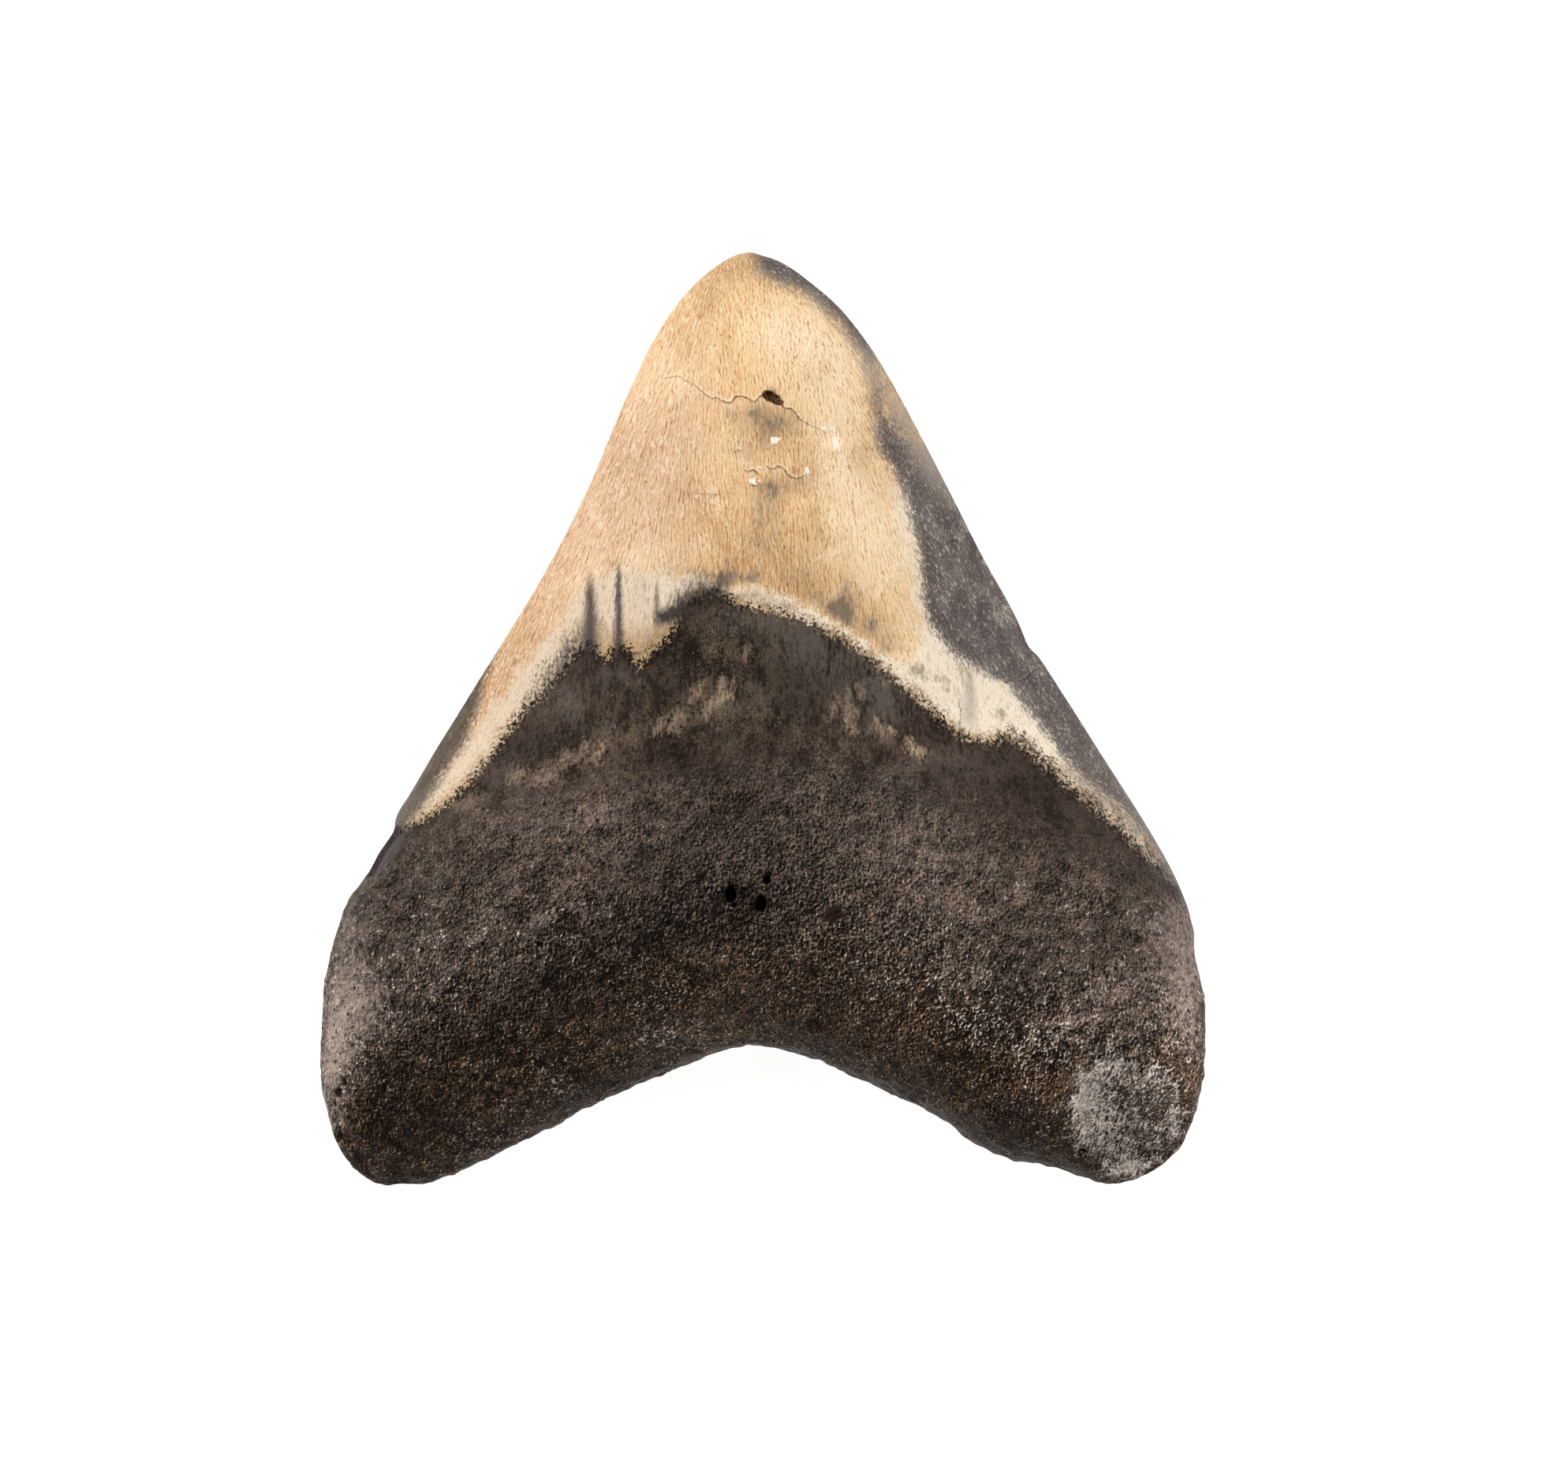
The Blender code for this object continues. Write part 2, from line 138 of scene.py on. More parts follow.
def above(points, line):
    # signed distance to a line that runs from left to right: positive on its tip side
    line = np.array(line)
    return np.sign(points[:, 1] - np.interp(points[:, 0], *line.T)) * distanceTo(points, line)


def rightOf(points, line):
    # the same for a line that runs down the tooth: positive on its right
    return above(points[:, ::-1], np.array(line)[::-1, ::-1])


def smooth(value, low, high):
    share = np.clip((value - low) / (high - low), 0, 1)
    return share * share * (3 - 2 * share)


def blots(points, spots):
    # soft oval spots: x, y, half width, half height, strength
    total = np.zeros(len(points))
    for x, y, width, height, strength in spots:
        total += strength * np.exp(-((points[:, 0] - x) / width) ** 2 - ((points[:, 1] - y) / height) ** 2)
    return total


def strokes(points, paths):
    # brush strokes through (x, y, half width): 1 on a stroke's middle, 0 at its edge, falling on outside
    depth = np.full(len(points), -8.0)
    for path in paths:
        for (ax, ay, aw), (bx, by, bw) in zip(path[:-1], path[1:]):
            along = np.array([bx - ax, by - ay])
            offset = points - (ax, ay)
            share = np.clip(offset @ along / (along @ along), 0, 1)
            away = np.hypot(*(offset - share[:, None] * along).T)
            depth = np.maximum(depth, 1 - away / (aw + (bw - aw) * share))
    return depth


def waves(points, size, seed, turn=0, stretch=1):
    # smooth noise between -1 and 1 with lumps of about the given size, stretched along a turned direction
    c, s = math.cos(math.radians(turn)), math.sin(math.radians(turn))
    x, y, z = points.T
    turned = np.stack([x * c - y * s, (x * s + y * c) / stretch, z], axis=1) / size + seed
    return np.array([noise.noise(Vector(p)) for p in turned])


toothSettings = {
    "smoothings": 2,
    "edgeCrease": 0.6,  # keeps the crown's worn cutting edge from rounding away
    "creaseAngle": 50,
    "creaseFrom": -20,
    "outerFacing": -0.15,  # a point that faces down more than this lies on the hidden face
    "grainLean": 0.45,
    "boneLumps": [(6.5, 0.26), (3.2, 0.26), (1.7, 0.24), (1.05, 0.15)],  # size, height
    "enamelLumps": [(9, 0.1)],
    "lobeFolds": {  # long lumps on the left lobe
        "across": (36, 50), "down": (18, 30), "size": 2.6, "stretch": 2.4, "turn": -38, "height": 0.42,
    },
    "crackReach": 0.9,
    "crackStep": 0.2,
    "crackedFrom": (25, 28),
    "breakWander": 0.7,
    "breakRoughness": 0.38,
    "breakDepth": 0.45,
    "chipDepth": 0.7,
    "holeDepth": 0.6,
    "pitDepth": 0.9,
    "lightFrom": (-0.6, 0.8, 0),
}
pitSpots = [  # x, y, half width, half height: the vessel openings and other dark holes
    (-3.9, -21.8, 0.58, 1), (-3.5, -23.3, 0.35, 0.4), (-0.2, -23.1, 0.52, 0.85), (0.4, -20.2, 0.46, 0.5),
    (-27.6, -28.3, 0.42, 0.5), (40, -34, 0.35, 0.4), (41.3, -31.3, 0.3, 0.35), (43, -32.3, 0.3, 0.3),
    (-52.9, -45.9, 0.5, 0.7), (-53.5, -47.2, 0.6, 0.9), (-54.1, -48.6, 0.45, 0.6), (-53.4, -52.9, 0.4, 0.8),
    (40.2, -54.4, 0.4, 0.4),
]
breakOutline = [  # the broken face at the end of the right lobe
    (38.8, -51), (39.3, -48.9), (40.2, -46), (41.6, -44.4), (43.4, -42.8), (45.3, -43), (46.4, -44),
    (48.4, -45.2), (50.2, -44.6), (52.1, -46.4), (53.3, -49.8), (52.8, -52.2), (50.6, -55.4), (48.8, -57.6),
    (46.4, -58.4), (44, -58.2), (42.4, -56.4), (40.1, -54.4), (39.2, -52.7), (38.8, -51),
]
softSpots = {  # each by the field that it makes: x, y, half width, half height, strength
    "stain": [  # grey stains on the enamel
        (9.5, 13.6, 2.6, 1.5, 0.8), (13, 11.4, 2.6, 1.4, 0.8), (16, 9.2, 2, 1.2, 0.6),
        (-10.5, 17, 3, 2.4, 0.35), (-2.6, 17.7, 2.8, 1, 0.9), (-5.6, 17.4, 1.6, 1.6, 0.7),
        (6.2, 15.4, 1.8, 0.9, 0.5), (2.6, 56.4, 2.6, 1.5, 0.6), (8.4, 51.8, 1.2, 1.6, 0.6),
        (1, 37.4, 3.6, 2.6, 0.8), (-2.5, 38.2, 4, 1.8, 0.35), (-1.5, 33.5, 2, 2, 0.3),
        (0, 24.8, 3.2, 4.6, 0.55), (3.2, 29.4, 4, 1.6, 0.4), (0.6, 28.8, 1.6, 1.2, 0.3),
        (10.4, 17, 1, 5, 0.4), (11.8, 14.6, 1.3, 3, 0.35), (5.6, 20.5, 0.45, 3.2, 0.4),
        (-13, 18.5, 5.5, 2, 0.28), (-4.5, 20, 1, 3, 0.15), (16, 9.5, 2, 3, 0.2), (-4, 56, 2.5, 1.2, 0.15),
        (9, 13.5, 2.5, 2, 0.25),
    ],
    "brown": [  # its ochre parts
        (-2.6, 57.4, 5, 2.4, 0.9), (-7.5, 54, 2.5, 3, 0.6), (-10.5, 49.5, 1.6, 3.5, 0.4),
        (0, 20.5, 7, 3.6, 0.75), (-6.5, 26, 4.5, 4, 0.5), (5, 16.6, 4, 2.4, 0.8), (3, 30.5, 6, 3, 0.25),
        (-0.5, 36, 6, 4, 0.4), (-31, 7.5, 4, 7, 0.55), (-34.5, 1, 2, 4, 0.5), (-24.5, 14.5, 2.5, 4, 0.2),
        (13.5, 12.5, 3, 3, 0.35), (12, 33, 3, 3, 0.2),
    ],
    "cream": [  # its palest parts
        (6.5, 47.5, 5.5, 6.5, 1), (9, 38, 4, 8, 0.7), (10.5, 27, 4, 8, 0.75), (15, 22, 3.2, 6, 0.8),
        (17.5, 12, 3, 6, 0.3), (19, 7, 3.5, 4, 0.55), (-22, 14.5, 3, 4, 0.5), (-15.5, 18, 4.5, 4.5, 0.5),
        (-11, 43, 4, 2.5, 0.4), (-3.5, 34, 3.5, 4, 0.3), (17.6, 25, 1.4, 5, 0.6), (0, 50, 4, 4, 0.4),
    ],
    "creamShade": [  # tan and grey parts of the pale band
        (19.4, 6.2, 1.7, 0.9, 0.8), (21.6, 4.8, 1.9, 0.6, 0.6), (25, 6.2, 0.9, 2, 0.7),
        (23.2, 3.6, 0.8, 1.6, 0.4), (26.3, 4, 0.5, 1.5, 0.4), (30.3, 0.2, 0.8, 1.1, 0.9),
        (27.2, -2.4, 2.4, 0.8, 0.6), (24, -0.9, 1, 0.8, 0.5), (33.6, -2.9, 2, 0.7, 0.5),
        (37.6, -7, 2.6, 0.8, 0.7), (42, -11, 2.6, 0.8, 0.7), (-36.5, -5.6, 1, 1.2, 0.5),
        (-39.6, -9, 0.9, 1, 0.5), (-34.6, -3.2, 0.8, 0.8, 0.3), (-9.8, 17, 3.6, 1.8, 0.45),
        (-20.9, 12, 1.1, 4, 0.75), (-17, 8.6, 1.4, 1.5, 0.6), (-15.4, 12, 0.7, 4, 0.35),
        (-16.4, 7.6, 0.8, 1.2, 0.6), (-12.6, 10.2, 2.4, 1.8, 1.3), (-14.8, 8, 1, 1.5, 0.7),
        (-19.8, 10, 0.8, 2, 0.4), (-4.4, 15, 1.5, 0.6, 0.4), (-10, 13, 2, 0.8, 0.5),
        (-8.4, 13.4, 2.4, 1.2, 1), (-1.5, 15.6, 2.6, 0.6, 0.6), (3.2, 14.2, 2.8, 0.8, 0.7),
    ],
    "chalk": [  # white flakes in the cracks
        (1.5, 35.1, 0.62, 0.42, 1.3), (9.2, 34.8, 0.55, 1.5, 0.8), (8, 36.6, 1.1, 0.4, 0.7),
        (-1.3, 30, 0.7, 0.5, 0.9), (5.4, 31.2, 0.5, 0.9, 0.8), (-8.3, 27.9, 0.8, 0.35, 0.5),
        (-0.6, 31.8, 0.5, 0.3, 0.6), (-3.4, 34.3, 0.5, 0.4, 0.3),
    ],
    "mottle": [  # worn, paler patches in the dark edge stain
        (16.6, 40, 3, 4.6, 0.9), (19.6, 35.6, 1.4, 3, 0.6), (14.5, 45, 2, 3, 0.45),
        (30.2, 13.4, 2.2, 2.4, 0.35), (23.8, 26, 0.8, 3.5, 0.35), (27.4, 19.5, 0.8, 3, 0.3),
        (21.5, 30, 1.5, 2, 0.3), (24.5, 22.5, 2.2, 1.5, 0.25),
    ],
    "haze": [  # greyer parts of the bourlette
        (7, 8.5, 5.5, 3.8, 1), (14.5, 3, 4.5, 4, 0.9), (-26, 1, 5, 4, 0.3), (-34, -7, 4, 2.5, 0.3),
        (-19, 5, 3, 2, 0.3), (0, 12.4, 5.5, 1.8, 0.9), (24, -6, 5, 2.5, 0.45), (0, 2.5, 7, 2.5, 0.35),
    ],
    "olive": [  # olive crumbs on it
        (-5, 9, 6, 4.5, 0.9), (-7, -0.5, 9, 3.5, 0.6), (0.5, 2, 4, 4, 0.5), (-15.5, 3, 3, 3, 0.2),
        (-22, -3, 6, 3, 0.35), (-16.7, 4.4, 1.7, 0.8, 0.5), (-19.5, 3, 1.6, 0.7, 0.4),
        (-22.3, 1.3, 1.6, 0.6, 0.3),
    ],
    "crumb": [  # the sediment that plugs one opening
        (9, -24.8, 1.3, 1, 1), (8.4, -25.4, 0.8, 0.7, 0.6),
    ],
    # painted light and shade on the broken face, over its paler bone
    "breakLight": [  # light and dark parts of the broken face
        (40.9, -48.2, 1.9, 4.6, 1.05), (44.4, -44, 3.2, 1.3, 0.65), (44, -52, 2.6, 3.6, 0.4),
        (49, -45.7, 1.8, 1.2, 0.6), (46.5, -57.4, 3.4, 1, 1), (52.2, -51.8, 0.9, 2.4, 0.85),
        (50.2, -49, 2.2, 2.4, -0.35), (46.6, -48.2, 1.6, 1.2, -0.3), (42.2, -56.2, 1.4, 1.8, -0.6),
    ],
    # painted glints: bright specks put into the root's colour where its crests would catch the light
    "glints": [  # where the root's crests catch the light
        (-14, -35, 5, 4, 0.5), (-26, -46, 6, 4, 0.5), (-34, -53, 6, 3, 0.5), (-13, -41.5, 5, 2.5, 0.6),
        (27, -39, 5, 5, 0.7), (36, -42, 5, 4, 0.7), (16, -33, 6, 3, 0.4), (8, -33, 6, 2.5, 0.2),
        (33, -49, 4, 3, 0.4),
    ],
    # partly the root's own tone, partly painted shade
    "boneDark": [  # the root's darker parts
        (-8, -26, 9, 4, 0.7), (-22, -33, 9, 4.5, 0.75), (-38, -42, 9, 4, 0.7), (-47, -49.5, 4.5, 7, 0.9),
        (1, -28, 8, 4, 0.3), (24, -46, 10, 3, 0.3), (-20, -5, 12, 2, 0.3), (36, -15.5, 9, 2, 0.35),
        (46, -20, 4, 2, 0.3), (-2, -16, 7, 3, 0.25),
    ],
    # partly rubbed bone, partly painted light on the lobes' lit edges
    "bonePale": [  # its rubbed, paler parts
        (-51.5, -36, 4.5, 6.5, 1), (-54.5, -45, 1.8, 9, 1), (-53, -27, 2.5, 4, 0.6), (-12, -40, 8, 3, 0.5),
        (53.5, -34, 3, 12, 0.8), (46, -34, 7, 6, 0.45), (22, -18, 9, 6, 0.35), (50, -26, 5, 4, 0.5),
        (-30, -49, 8, 3, 0.3), (28, -30, 8, 6, 0.25), (38, -40, 3, 3.5, 0.5), (39.5, -48.5, 1.4, 4.5, 0.6),
    ],
    # partly the root's and the dark band's own tone, partly painted light and shade on them
    "level": [  # lighter and darker parts below the enamel, in doublings
        (24, -24, 9, 7, 0.55), (22, -36, 7, 5, 0.6), (42, -37, 8, 6, 0.8), (41, -23, 10, 5, 0.5),
        (53, -41, 5, 11, 1), (36, -49, 4, 4, 1), (30, -43, 4, 3, 0.25), (-23, -12, 9, 5, 0.65),
        (-42, -33, 4, 4, 0.6), (-32, -26, 7, 5, 0.3), (-34, -14, 6, 3, 0.2), (-5, -39.8, 5, 2.5, 1.15),
        (6, -27.5, 3, 2.5, 0.9), (15, -3.5, 8, 3, 0.9), (-18, -3, 4, 3, 0.65), (-54, -43, 4, 9, 0.5),
        (-8, -15, 9, 5, -0.35), (-7, -22, 8, 4, -0.65), (-16, -28.5, 7, 4, -0.9), (-26, -34, 7, 3.5, -0.8),
        (-36, -39.5, 6, 3.5, -0.75), (-44, -48, 6, 5, -0.9), (-46, -53, 5, 3, -0.15), (-4, -9, 8, 3, -0.4),
        (2, -25, 7, 4, -0.6), (7, -39.5, 4, 2.5, -0.5), (30, -52, 5, 3, -1.2), (3, 4, 5, 3, -0.6),
        (-5.5, 2.5, 3, 2.5, 0.6), (9.5, -32.5, 4, 3, -0.5), (-22.5, -46, 4, 2, -0.5),
        (-17, -43.5, 4, 2, 0.4), (19, -16, 6, 4, 0.3), (-5, 9.5, 4, 3, -0.45), (-25.5, 2.5, 4, 2.2, 0.45),
        (7, -2.4, 3, 2, 0.55), (-12, 7.5, 3, 2, -0.4), (18, -4, 3, 2, 0.25), (-3, -33, 6, 3, 0.4),
        (0, -40, 5, 2.5, 0.25), (12, -40, 3, 2.5, 0.3), (-24, -40, 3, 2.5, 0.35), (-7, -40, 3, 2, 0.35),
        (-38, -44, 4, 3, 0.3), (51, -46, 4, 5, 0.5), (14, -27, 7, 3, 0.15),
    ],
}
brushStrokes = {  # each by the field that it makes: strokes through x, y, half width
    "smudge": [  # the black stain along the top of the bourlette
        [(-12.8, 12.7, 0.7), (-11, 13.5, 1), (-9, 14.6, 1.6), (-7.6, 15.3, 1.7), (-6.2, 15.9, 0.9)],
    ],
    "streaks": [  # tan dashes on the bourlette
        [(-8.1, 4.2, 0.35), (-8.5, 2.9, 0.55), (-9.4, 1.8, 0.3)], [(-5.2, 5.2, 0.2), (-5.4, 2.3, 0.5)],
        [(-3.9, 4.6, 0.3), (-4.1, 2.6, 0.4)], [(-6.6, 1.8, 0.5), (-7.4, 0.2, 0.4)],
        [(-10.6, 0.2, 0.6), (-11.4, -1.3, 0.6)], [(-12.6, -0.3, 0.4), (-13.4, -1.5, 0.5)],
        [(-20.3, -3.4, 0.4), (-21.2, -5.2, 0.5)], [(-22.4, -3.6, 0.4), (-23.6, -5, 0.6)],
        [(-24.8, -4.6, 0.4), (-26, -6.2, 0.5)], [(-27, -7.4, 0.8), (-29, -8, 0.6)],
        [(-31, -7.3, 0.7), (-32, -8, 0.5)], [(-37, -10.9, 0.9), (-39, -11.3, 0.5)],
        [(10.4, 2.6, 0.25), (10.7, -1.2, 0.4)], [(11.6, 1.4, 0.25), (11.5, -1.6, 0.35)],
        [(12, 4.2, 0.3), (12.4, 2.8, 0.45)], [(8.8, 1.6, 0.3), (8.6, 0.2, 0.4)],
        [(14.2, -0.3, 0.35), (14.8, -1.5, 0.55)], [(16, -1.2, 0.3), (16.4, -2, 0.3)],
        [(18.4, -2.6, 0.3), (18.9, -4, 0.45), (19.8, -4.6, 0.6)], [(15, 4.9, 0.35), (15.2, 4.2, 0.35)],
        [(-2, 9, 0.3), (-2.2, 7.4, 0.4)], [(-6, 9.4, 0.25), (-6.2, 8.2, 0.3)],
        [(9.2, 2.6, 0.3), (9.4, 1.2, 0.3)], [(10.6, 3.4, 0.3), (10.9, 0.4, 0.35)],
    ],
    "hairlines": [  # thin upright cracks in it
        [(-17.2, 3.8, 0.28), (-17.3, 1.4, 0.28)], [(-23.3, -0.6, 0.28), (-23.6, -4.2, 0.28)],
        [(-14.6, 4.9, 0.4), (-13.5, 3.6, 0.6), (-13.6, 1.4, 0.4)], [(-19.1, 1.6, 0.25), (-19.4, -0.6, 0.25)],
        [(-28.2, -3, 0.25), (-28.4, -5.6, 0.25)], [(21.2, -0.4, 0.25), (21.3, -3.4, 0.25)],
        [(-7.8, -1.2, 0.4), (-9.4, -2, 0.4)], [(8.4, 9.8, 0.25), (8.2, 5.4, 0.25)],
        [(24.9, -2, 0.3), (25, -5, 0.25)], [(5.6, -1.6, 0.2), (8.2, -2.8, 0.2), (10.2, -4.2, 0.15)],
    ],
    "chip": [  # at the left shoulder
        [(-46.8, -14.9, 1.2), (-48, -17, 1.3), (-49.8, -19.6, 0.8)],
    ],
    "hole": [  # in the enamel
        [(0, 41, 0.25), (0.5, 40.9, 0.5), (1.1, 40.7, 0.55), (1.7, 40.3, 0.55), (2.3, 39.9, 0.3)],
    ],
}


def brokenEnd(points):
    # signed distance to the broken face on the right lobe: positive inside it
    corners = np.array(breakOutline)
    (ax, ay), (bx, by) = corners[:-1].T, corners[1:].T
    x, y = points[:, None, 0], points[:, None, 1]
    spans = (ay > y) != (by > y)
    crossing = ax + (y - ay) * (bx - ax) / np.where(ay == by, 1, by - ay)
    inside = (spans & (x < crossing)).sum(1) % 2 == 1
    return np.where(inside, 1, -1) * distanceTo(points, corners)


def crackField(points):
    # signed distance to the nearest crack, positive on its tip side, and that crack's half width there
    gap, width = np.full(len(points), farAway), np.full(len(points), -1.0)
    for crack in cracks:
        line = np.array(crack)
        away = above(points, line[:, :2])
        reach = np.interp(points[:, 0], line[:, 0], line[:, 2], left=-1, right=-1)
        nearer = np.abs(away) < np.abs(gap)
        gap = np.where(nearer, away, gap)
        width = np.where(nearer, np.where(np.abs(away) < toothSettings["crackReach"], reach, -1), width)
    return gap, width


def pitHollow(points):
    # 1 at the middle of a pit, 0 at its rim and outside
    depth = np.zeros(len(points))
    for x, y, width, height in pitSpots:
        away = np.hypot((points[:, 0] - x) / width, (points[:, 1] - y) / height)
        depth = np.maximum(depth, 1 - smooth(away, 0.35, 1.2))
    return depth


def addObject(name, data):
    made = bpy.data.objects.new(name, data)
    bpy.context.scene.collection.objects.link(made)
    return made


def makeSurface():
    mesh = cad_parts["tooth"].data.copy()
    work = bmesh.new()
    work.from_mesh(mesh)
    bmesh.ops.remove_doubles(work, verts=work.verts, dist=1e-6)
    crease = work.edges.layers.float.new("crease_edge")
    for edge in work.edges:
        turned = edge.is_manifold and edge.calc_face_angle() > math.radians(toothSettings["creaseAngle"])
        if turned and edge.verts[0].co.y > toothSettings["creaseFrom"] * mm:
            edge[crease] = toothSettings["edgeCrease"]
    work.to_mesh(mesh)
    work.free()
    tooth = addObject("toothSurface", mesh)
    smoothing = tooth.modifiers.new("smoothing", "SUBSURF")
    smoothing.levels = smoothing.render_levels = toothSettings["smoothings"]
    seen = tooth.evaluated_get(bpy.context.evaluated_depsgraph_get())
    tooth.data = bpy.data.meshes.new_from_object(seen)
    tooth.modifiers.clear()
    tooth.data.materials.clear()
    tooth.data.shade_smooth()
    print("surface:", len(tooth.data.vertices), "points")
    return tooth


def readPoints(mesh):
    places = np.empty(len(mesh.vertices) * 3)
    mesh.vertices.foreach_get("co", places)
    facing = np.empty(len(mesh.vertices) * 3)
    mesh.vertex_normals.foreach_get("vector", facing)
    return places.reshape(-1, 3) / mm, facing.reshape(-1, 3)


def seenFromAbove(places):
    # where a point appears to lie when the camera projects it to the height of the tooth's edge
    aim = np.array(stage["aim"]) / mm
    distance = stage["lens"] / stage["sensorWidth"] * stage["viewWidth"] / mm
    lift = places[:, 2:] - stage["edgeHeight"] / mm
    return aim + (places[:, :2] - aim) * distance / (distance - lift)


def measureFields(places, facing):
    # what the relief and the colours go by, for every point of the surface
    outer = facing[:, 2] < toothSettings["outerFacing"]
    flat = np.where(outer[:, None], places[:, :2], seenFromAbove(places))
    x, y = flat.T
    left, right = (np.interp(-y, -side[:, 1], side[:, 0]) for side in map(np.array, (leftSide, rightSide)))
    across = np.clip((2 * x - left - right) / np.maximum(right - left, 1e-3), -1, 1)
    crack, crackWidth = crackField(flat)
    fields = {
        "seenX": x,
        "seenY": y,
        "under": smooth(-facing[:, 2], 0, 0.5),
        "enamel": np.where(outer, above(flat, outerBorder), above(flat, enamelBorder)),
        "bone": np.where(outer, -above(flat, outerBorder), -above(flat, rootLine)),
        "creamTop": np.where(outer, -farAway, -above(flat, creamTop)),
        "creamLow": np.where(x > creamLow[0][0], above(flat, creamLow), farAway),
        "across": across,
        "lean": -toothSettings["grainLean"] * np.sign(across) * smooth(np.abs(across), 0.3, 0.95),
        "band": rightOf(flat, darkBandLine),
        "leftStain": np.where(y < leftStainLine[0][1], -rightOf(flat, leftStainLine), -5),
        "base": distanceTo(flat, rootArch),
        "side": np.minimum(distanceTo(flat, leftSide), distanceTo(flat, rightSide)),
        "crack": crack,
        "crackWidth": np.where(outer, -1, crackWidth),
        "broken": brokenEnd(flat) + toothSettings["breakWander"] * waves(places, 2.2, 8),
        "pits": pitHollow(places[:, :2]) * (facing[:, 2] > 0),
    }
    fields.update((name, blots(flat, spots)) for name, spots in softSpots.items())
    fields.update((name, strokes(flat, paths)) for name, paths in brushStrokes.items())
    return fields


def roughen(tooth, places, facing, fields):
    # fine relief, pushed along each point's own direction
    settings = toothSettings
    bone = smooth(fields["bone"], -0.5, 4.5)
    push = np.zeros(len(places))
    for i, (size, height) in enumerate(settings["boneLumps"]):
        push += waves(places, size, 3.1 * i) * height * bone
    fine = push / sum(height for _, height in settings["boneLumps"])
    for size, height in settings["enamelLumps"]:
        push += waves(places, size, 7.7) * height * (1 - bone)
    top = 1 - fields["under"]
    folds = settings["lobeFolds"]
    lobe = smooth(-places[:, 0], *folds["across"]) * smooth(-places[:, 1], *folds["down"])
    push += folds["height"] * lobe * waves(places, folds["size"], 5, folds["turn"], folds["stretch"])
    below = smooth(-fields["crack"], -0.15, 0.35) * (1 - smooth(-fields["crack"], 0.8, 3))
    push -= settings["crackStep"] * below * smooth(places[:, 1], *settings["crackedFrom"]) * top
    push -= settings["holeDepth"] * smooth(fields["hole"], -0.1, 0.4) * top
    broken = smooth(fields["broken"], 0, 0.9) * top
    push += broken * (waves(places, 1.5, 2.2, 35, 1.8) * settings["breakRoughness"] - settings["breakDepth"])
    push -= settings["chipDepth"] * smooth(fields["chip"], 0, 0.45) * top
    push -= settings["pitDepth"] * fields["pits"]
    nearFloor = smooth(places[:, 2], 0, 1.5) * smooth(fields["side"], 0, 1)
    moved = places + facing * (push * np.where(fields["under"] > 0.02, nearFloor, 1))[:, None]
    moved[:, 2] = np.maximum(moved[:, 2], 0)
    low, high = (np.array(corner) / mm for corner in frameBox)
    moved = np.clip(moved, low, high)
    tooth.data.vertices.foreach_set("co", (moved * mm).ravel())
    tooth.data.update()
    fields["relief"] = fine
    # painted light and shade: how far each point turned towards the light when the relief was pushed; it
    # lightens and darkens the root's colour
    fields["slope"] = (readPoints(tooth.data)[1] - facing) @ np.array(settings["lightFrom"])
    print("relief: pushed by", round(float(push.min()), 2), "to", round(float(push.max()), 2), "mm")


def storeFields(mesh, fields):
    for name, values in fields.items():
        layer = mesh.attributes.new(name, "FLOAT", "POINT")
        layer.data.foreach_set("value", values.astype(np.float32))


colours = {  # linear red, green, blue
    "tan": (0.75, 0.485, 0.25),
    "pinkTan": (0.59, 0.385, 0.24),
    "paleTan": (0.88, 0.685, 0.455),
    "ochre": (0.455, 0.27, 0.125),
    "grainDark": (0.61, 0.47, 0.32),  # what a dark line of the grain leaves of each colour
    "grainPale": (0.95, 0.79, 0.58),
    "cloudDark": (0.66, 0.55, 0.43),
    "greyStain": (0.15, 0.115, 0.085),
    "chalk": (0.88, 0.79, 0.66),
    "cream": (0.84, 0.715, 0.565),
    "creamLeft": (0.62, 0.49, 0.36),
    "creamTan": (0.55, 0.41, 0.27),
    "creamGrey": (0.3, 0.245, 0.185),
    "fringeTan": (0.4, 0.26, 0.13),
    "black": (0.014, 0.01, 0.008),
    "smudge": (0.034, 0.027, 0.025),
    "holeBrown": (0.17, 0.085, 0.035),
    "crackBrown": (0.15, 0.085, 0.045),
    "pitBrown": (0.032, 0.018, 0.01),
    "leftDark": (0.038, 0.03, 0.023),
    "leftMid": (0.112, 0.088, 0.066),
    "bandDark": (0.056, 0.045, 0.044),
    "bandMid": (0.142, 0.12, 0.112),
    "bandPale": (0.44, 0.395, 0.35),
    "bandTan": (0.37, 0.315, 0.255),
    "bourletteDark": (0.012, 0.006, 0.004),
    "bourletteMid": (0.062, 0.042, 0.033),
    "bourletteHaze": (0.105, 0.084, 0.07),
    "olive": (0.15, 0.115, 0.07),
    "streakTan": (0.36, 0.26, 0.175),
    "boneDark": (0.006, 0.0035, 0.002),
    "bonePale": (0.31, 0.232, 0.188),
    "boneWarm": (0.3, 0.195, 0.13),
    "baseDark": (0.007, 0.003, 0.001),
    "basePale": (0.235, 0.138, 0.076),
    # the colour of the painted glints
    "glint": (0.74, 0.65, 0.58),
    "rosePale": (0.36, 0.28, 0.235),
    # the broken face's colours, pale to dark, also carry its painted light and shade
    "breakPale": (0.84, 0.73, 0.65),
    "breakMid": (0.25, 0.195, 0.16),
    "breakDark": (0.034, 0.022, 0.014),
}
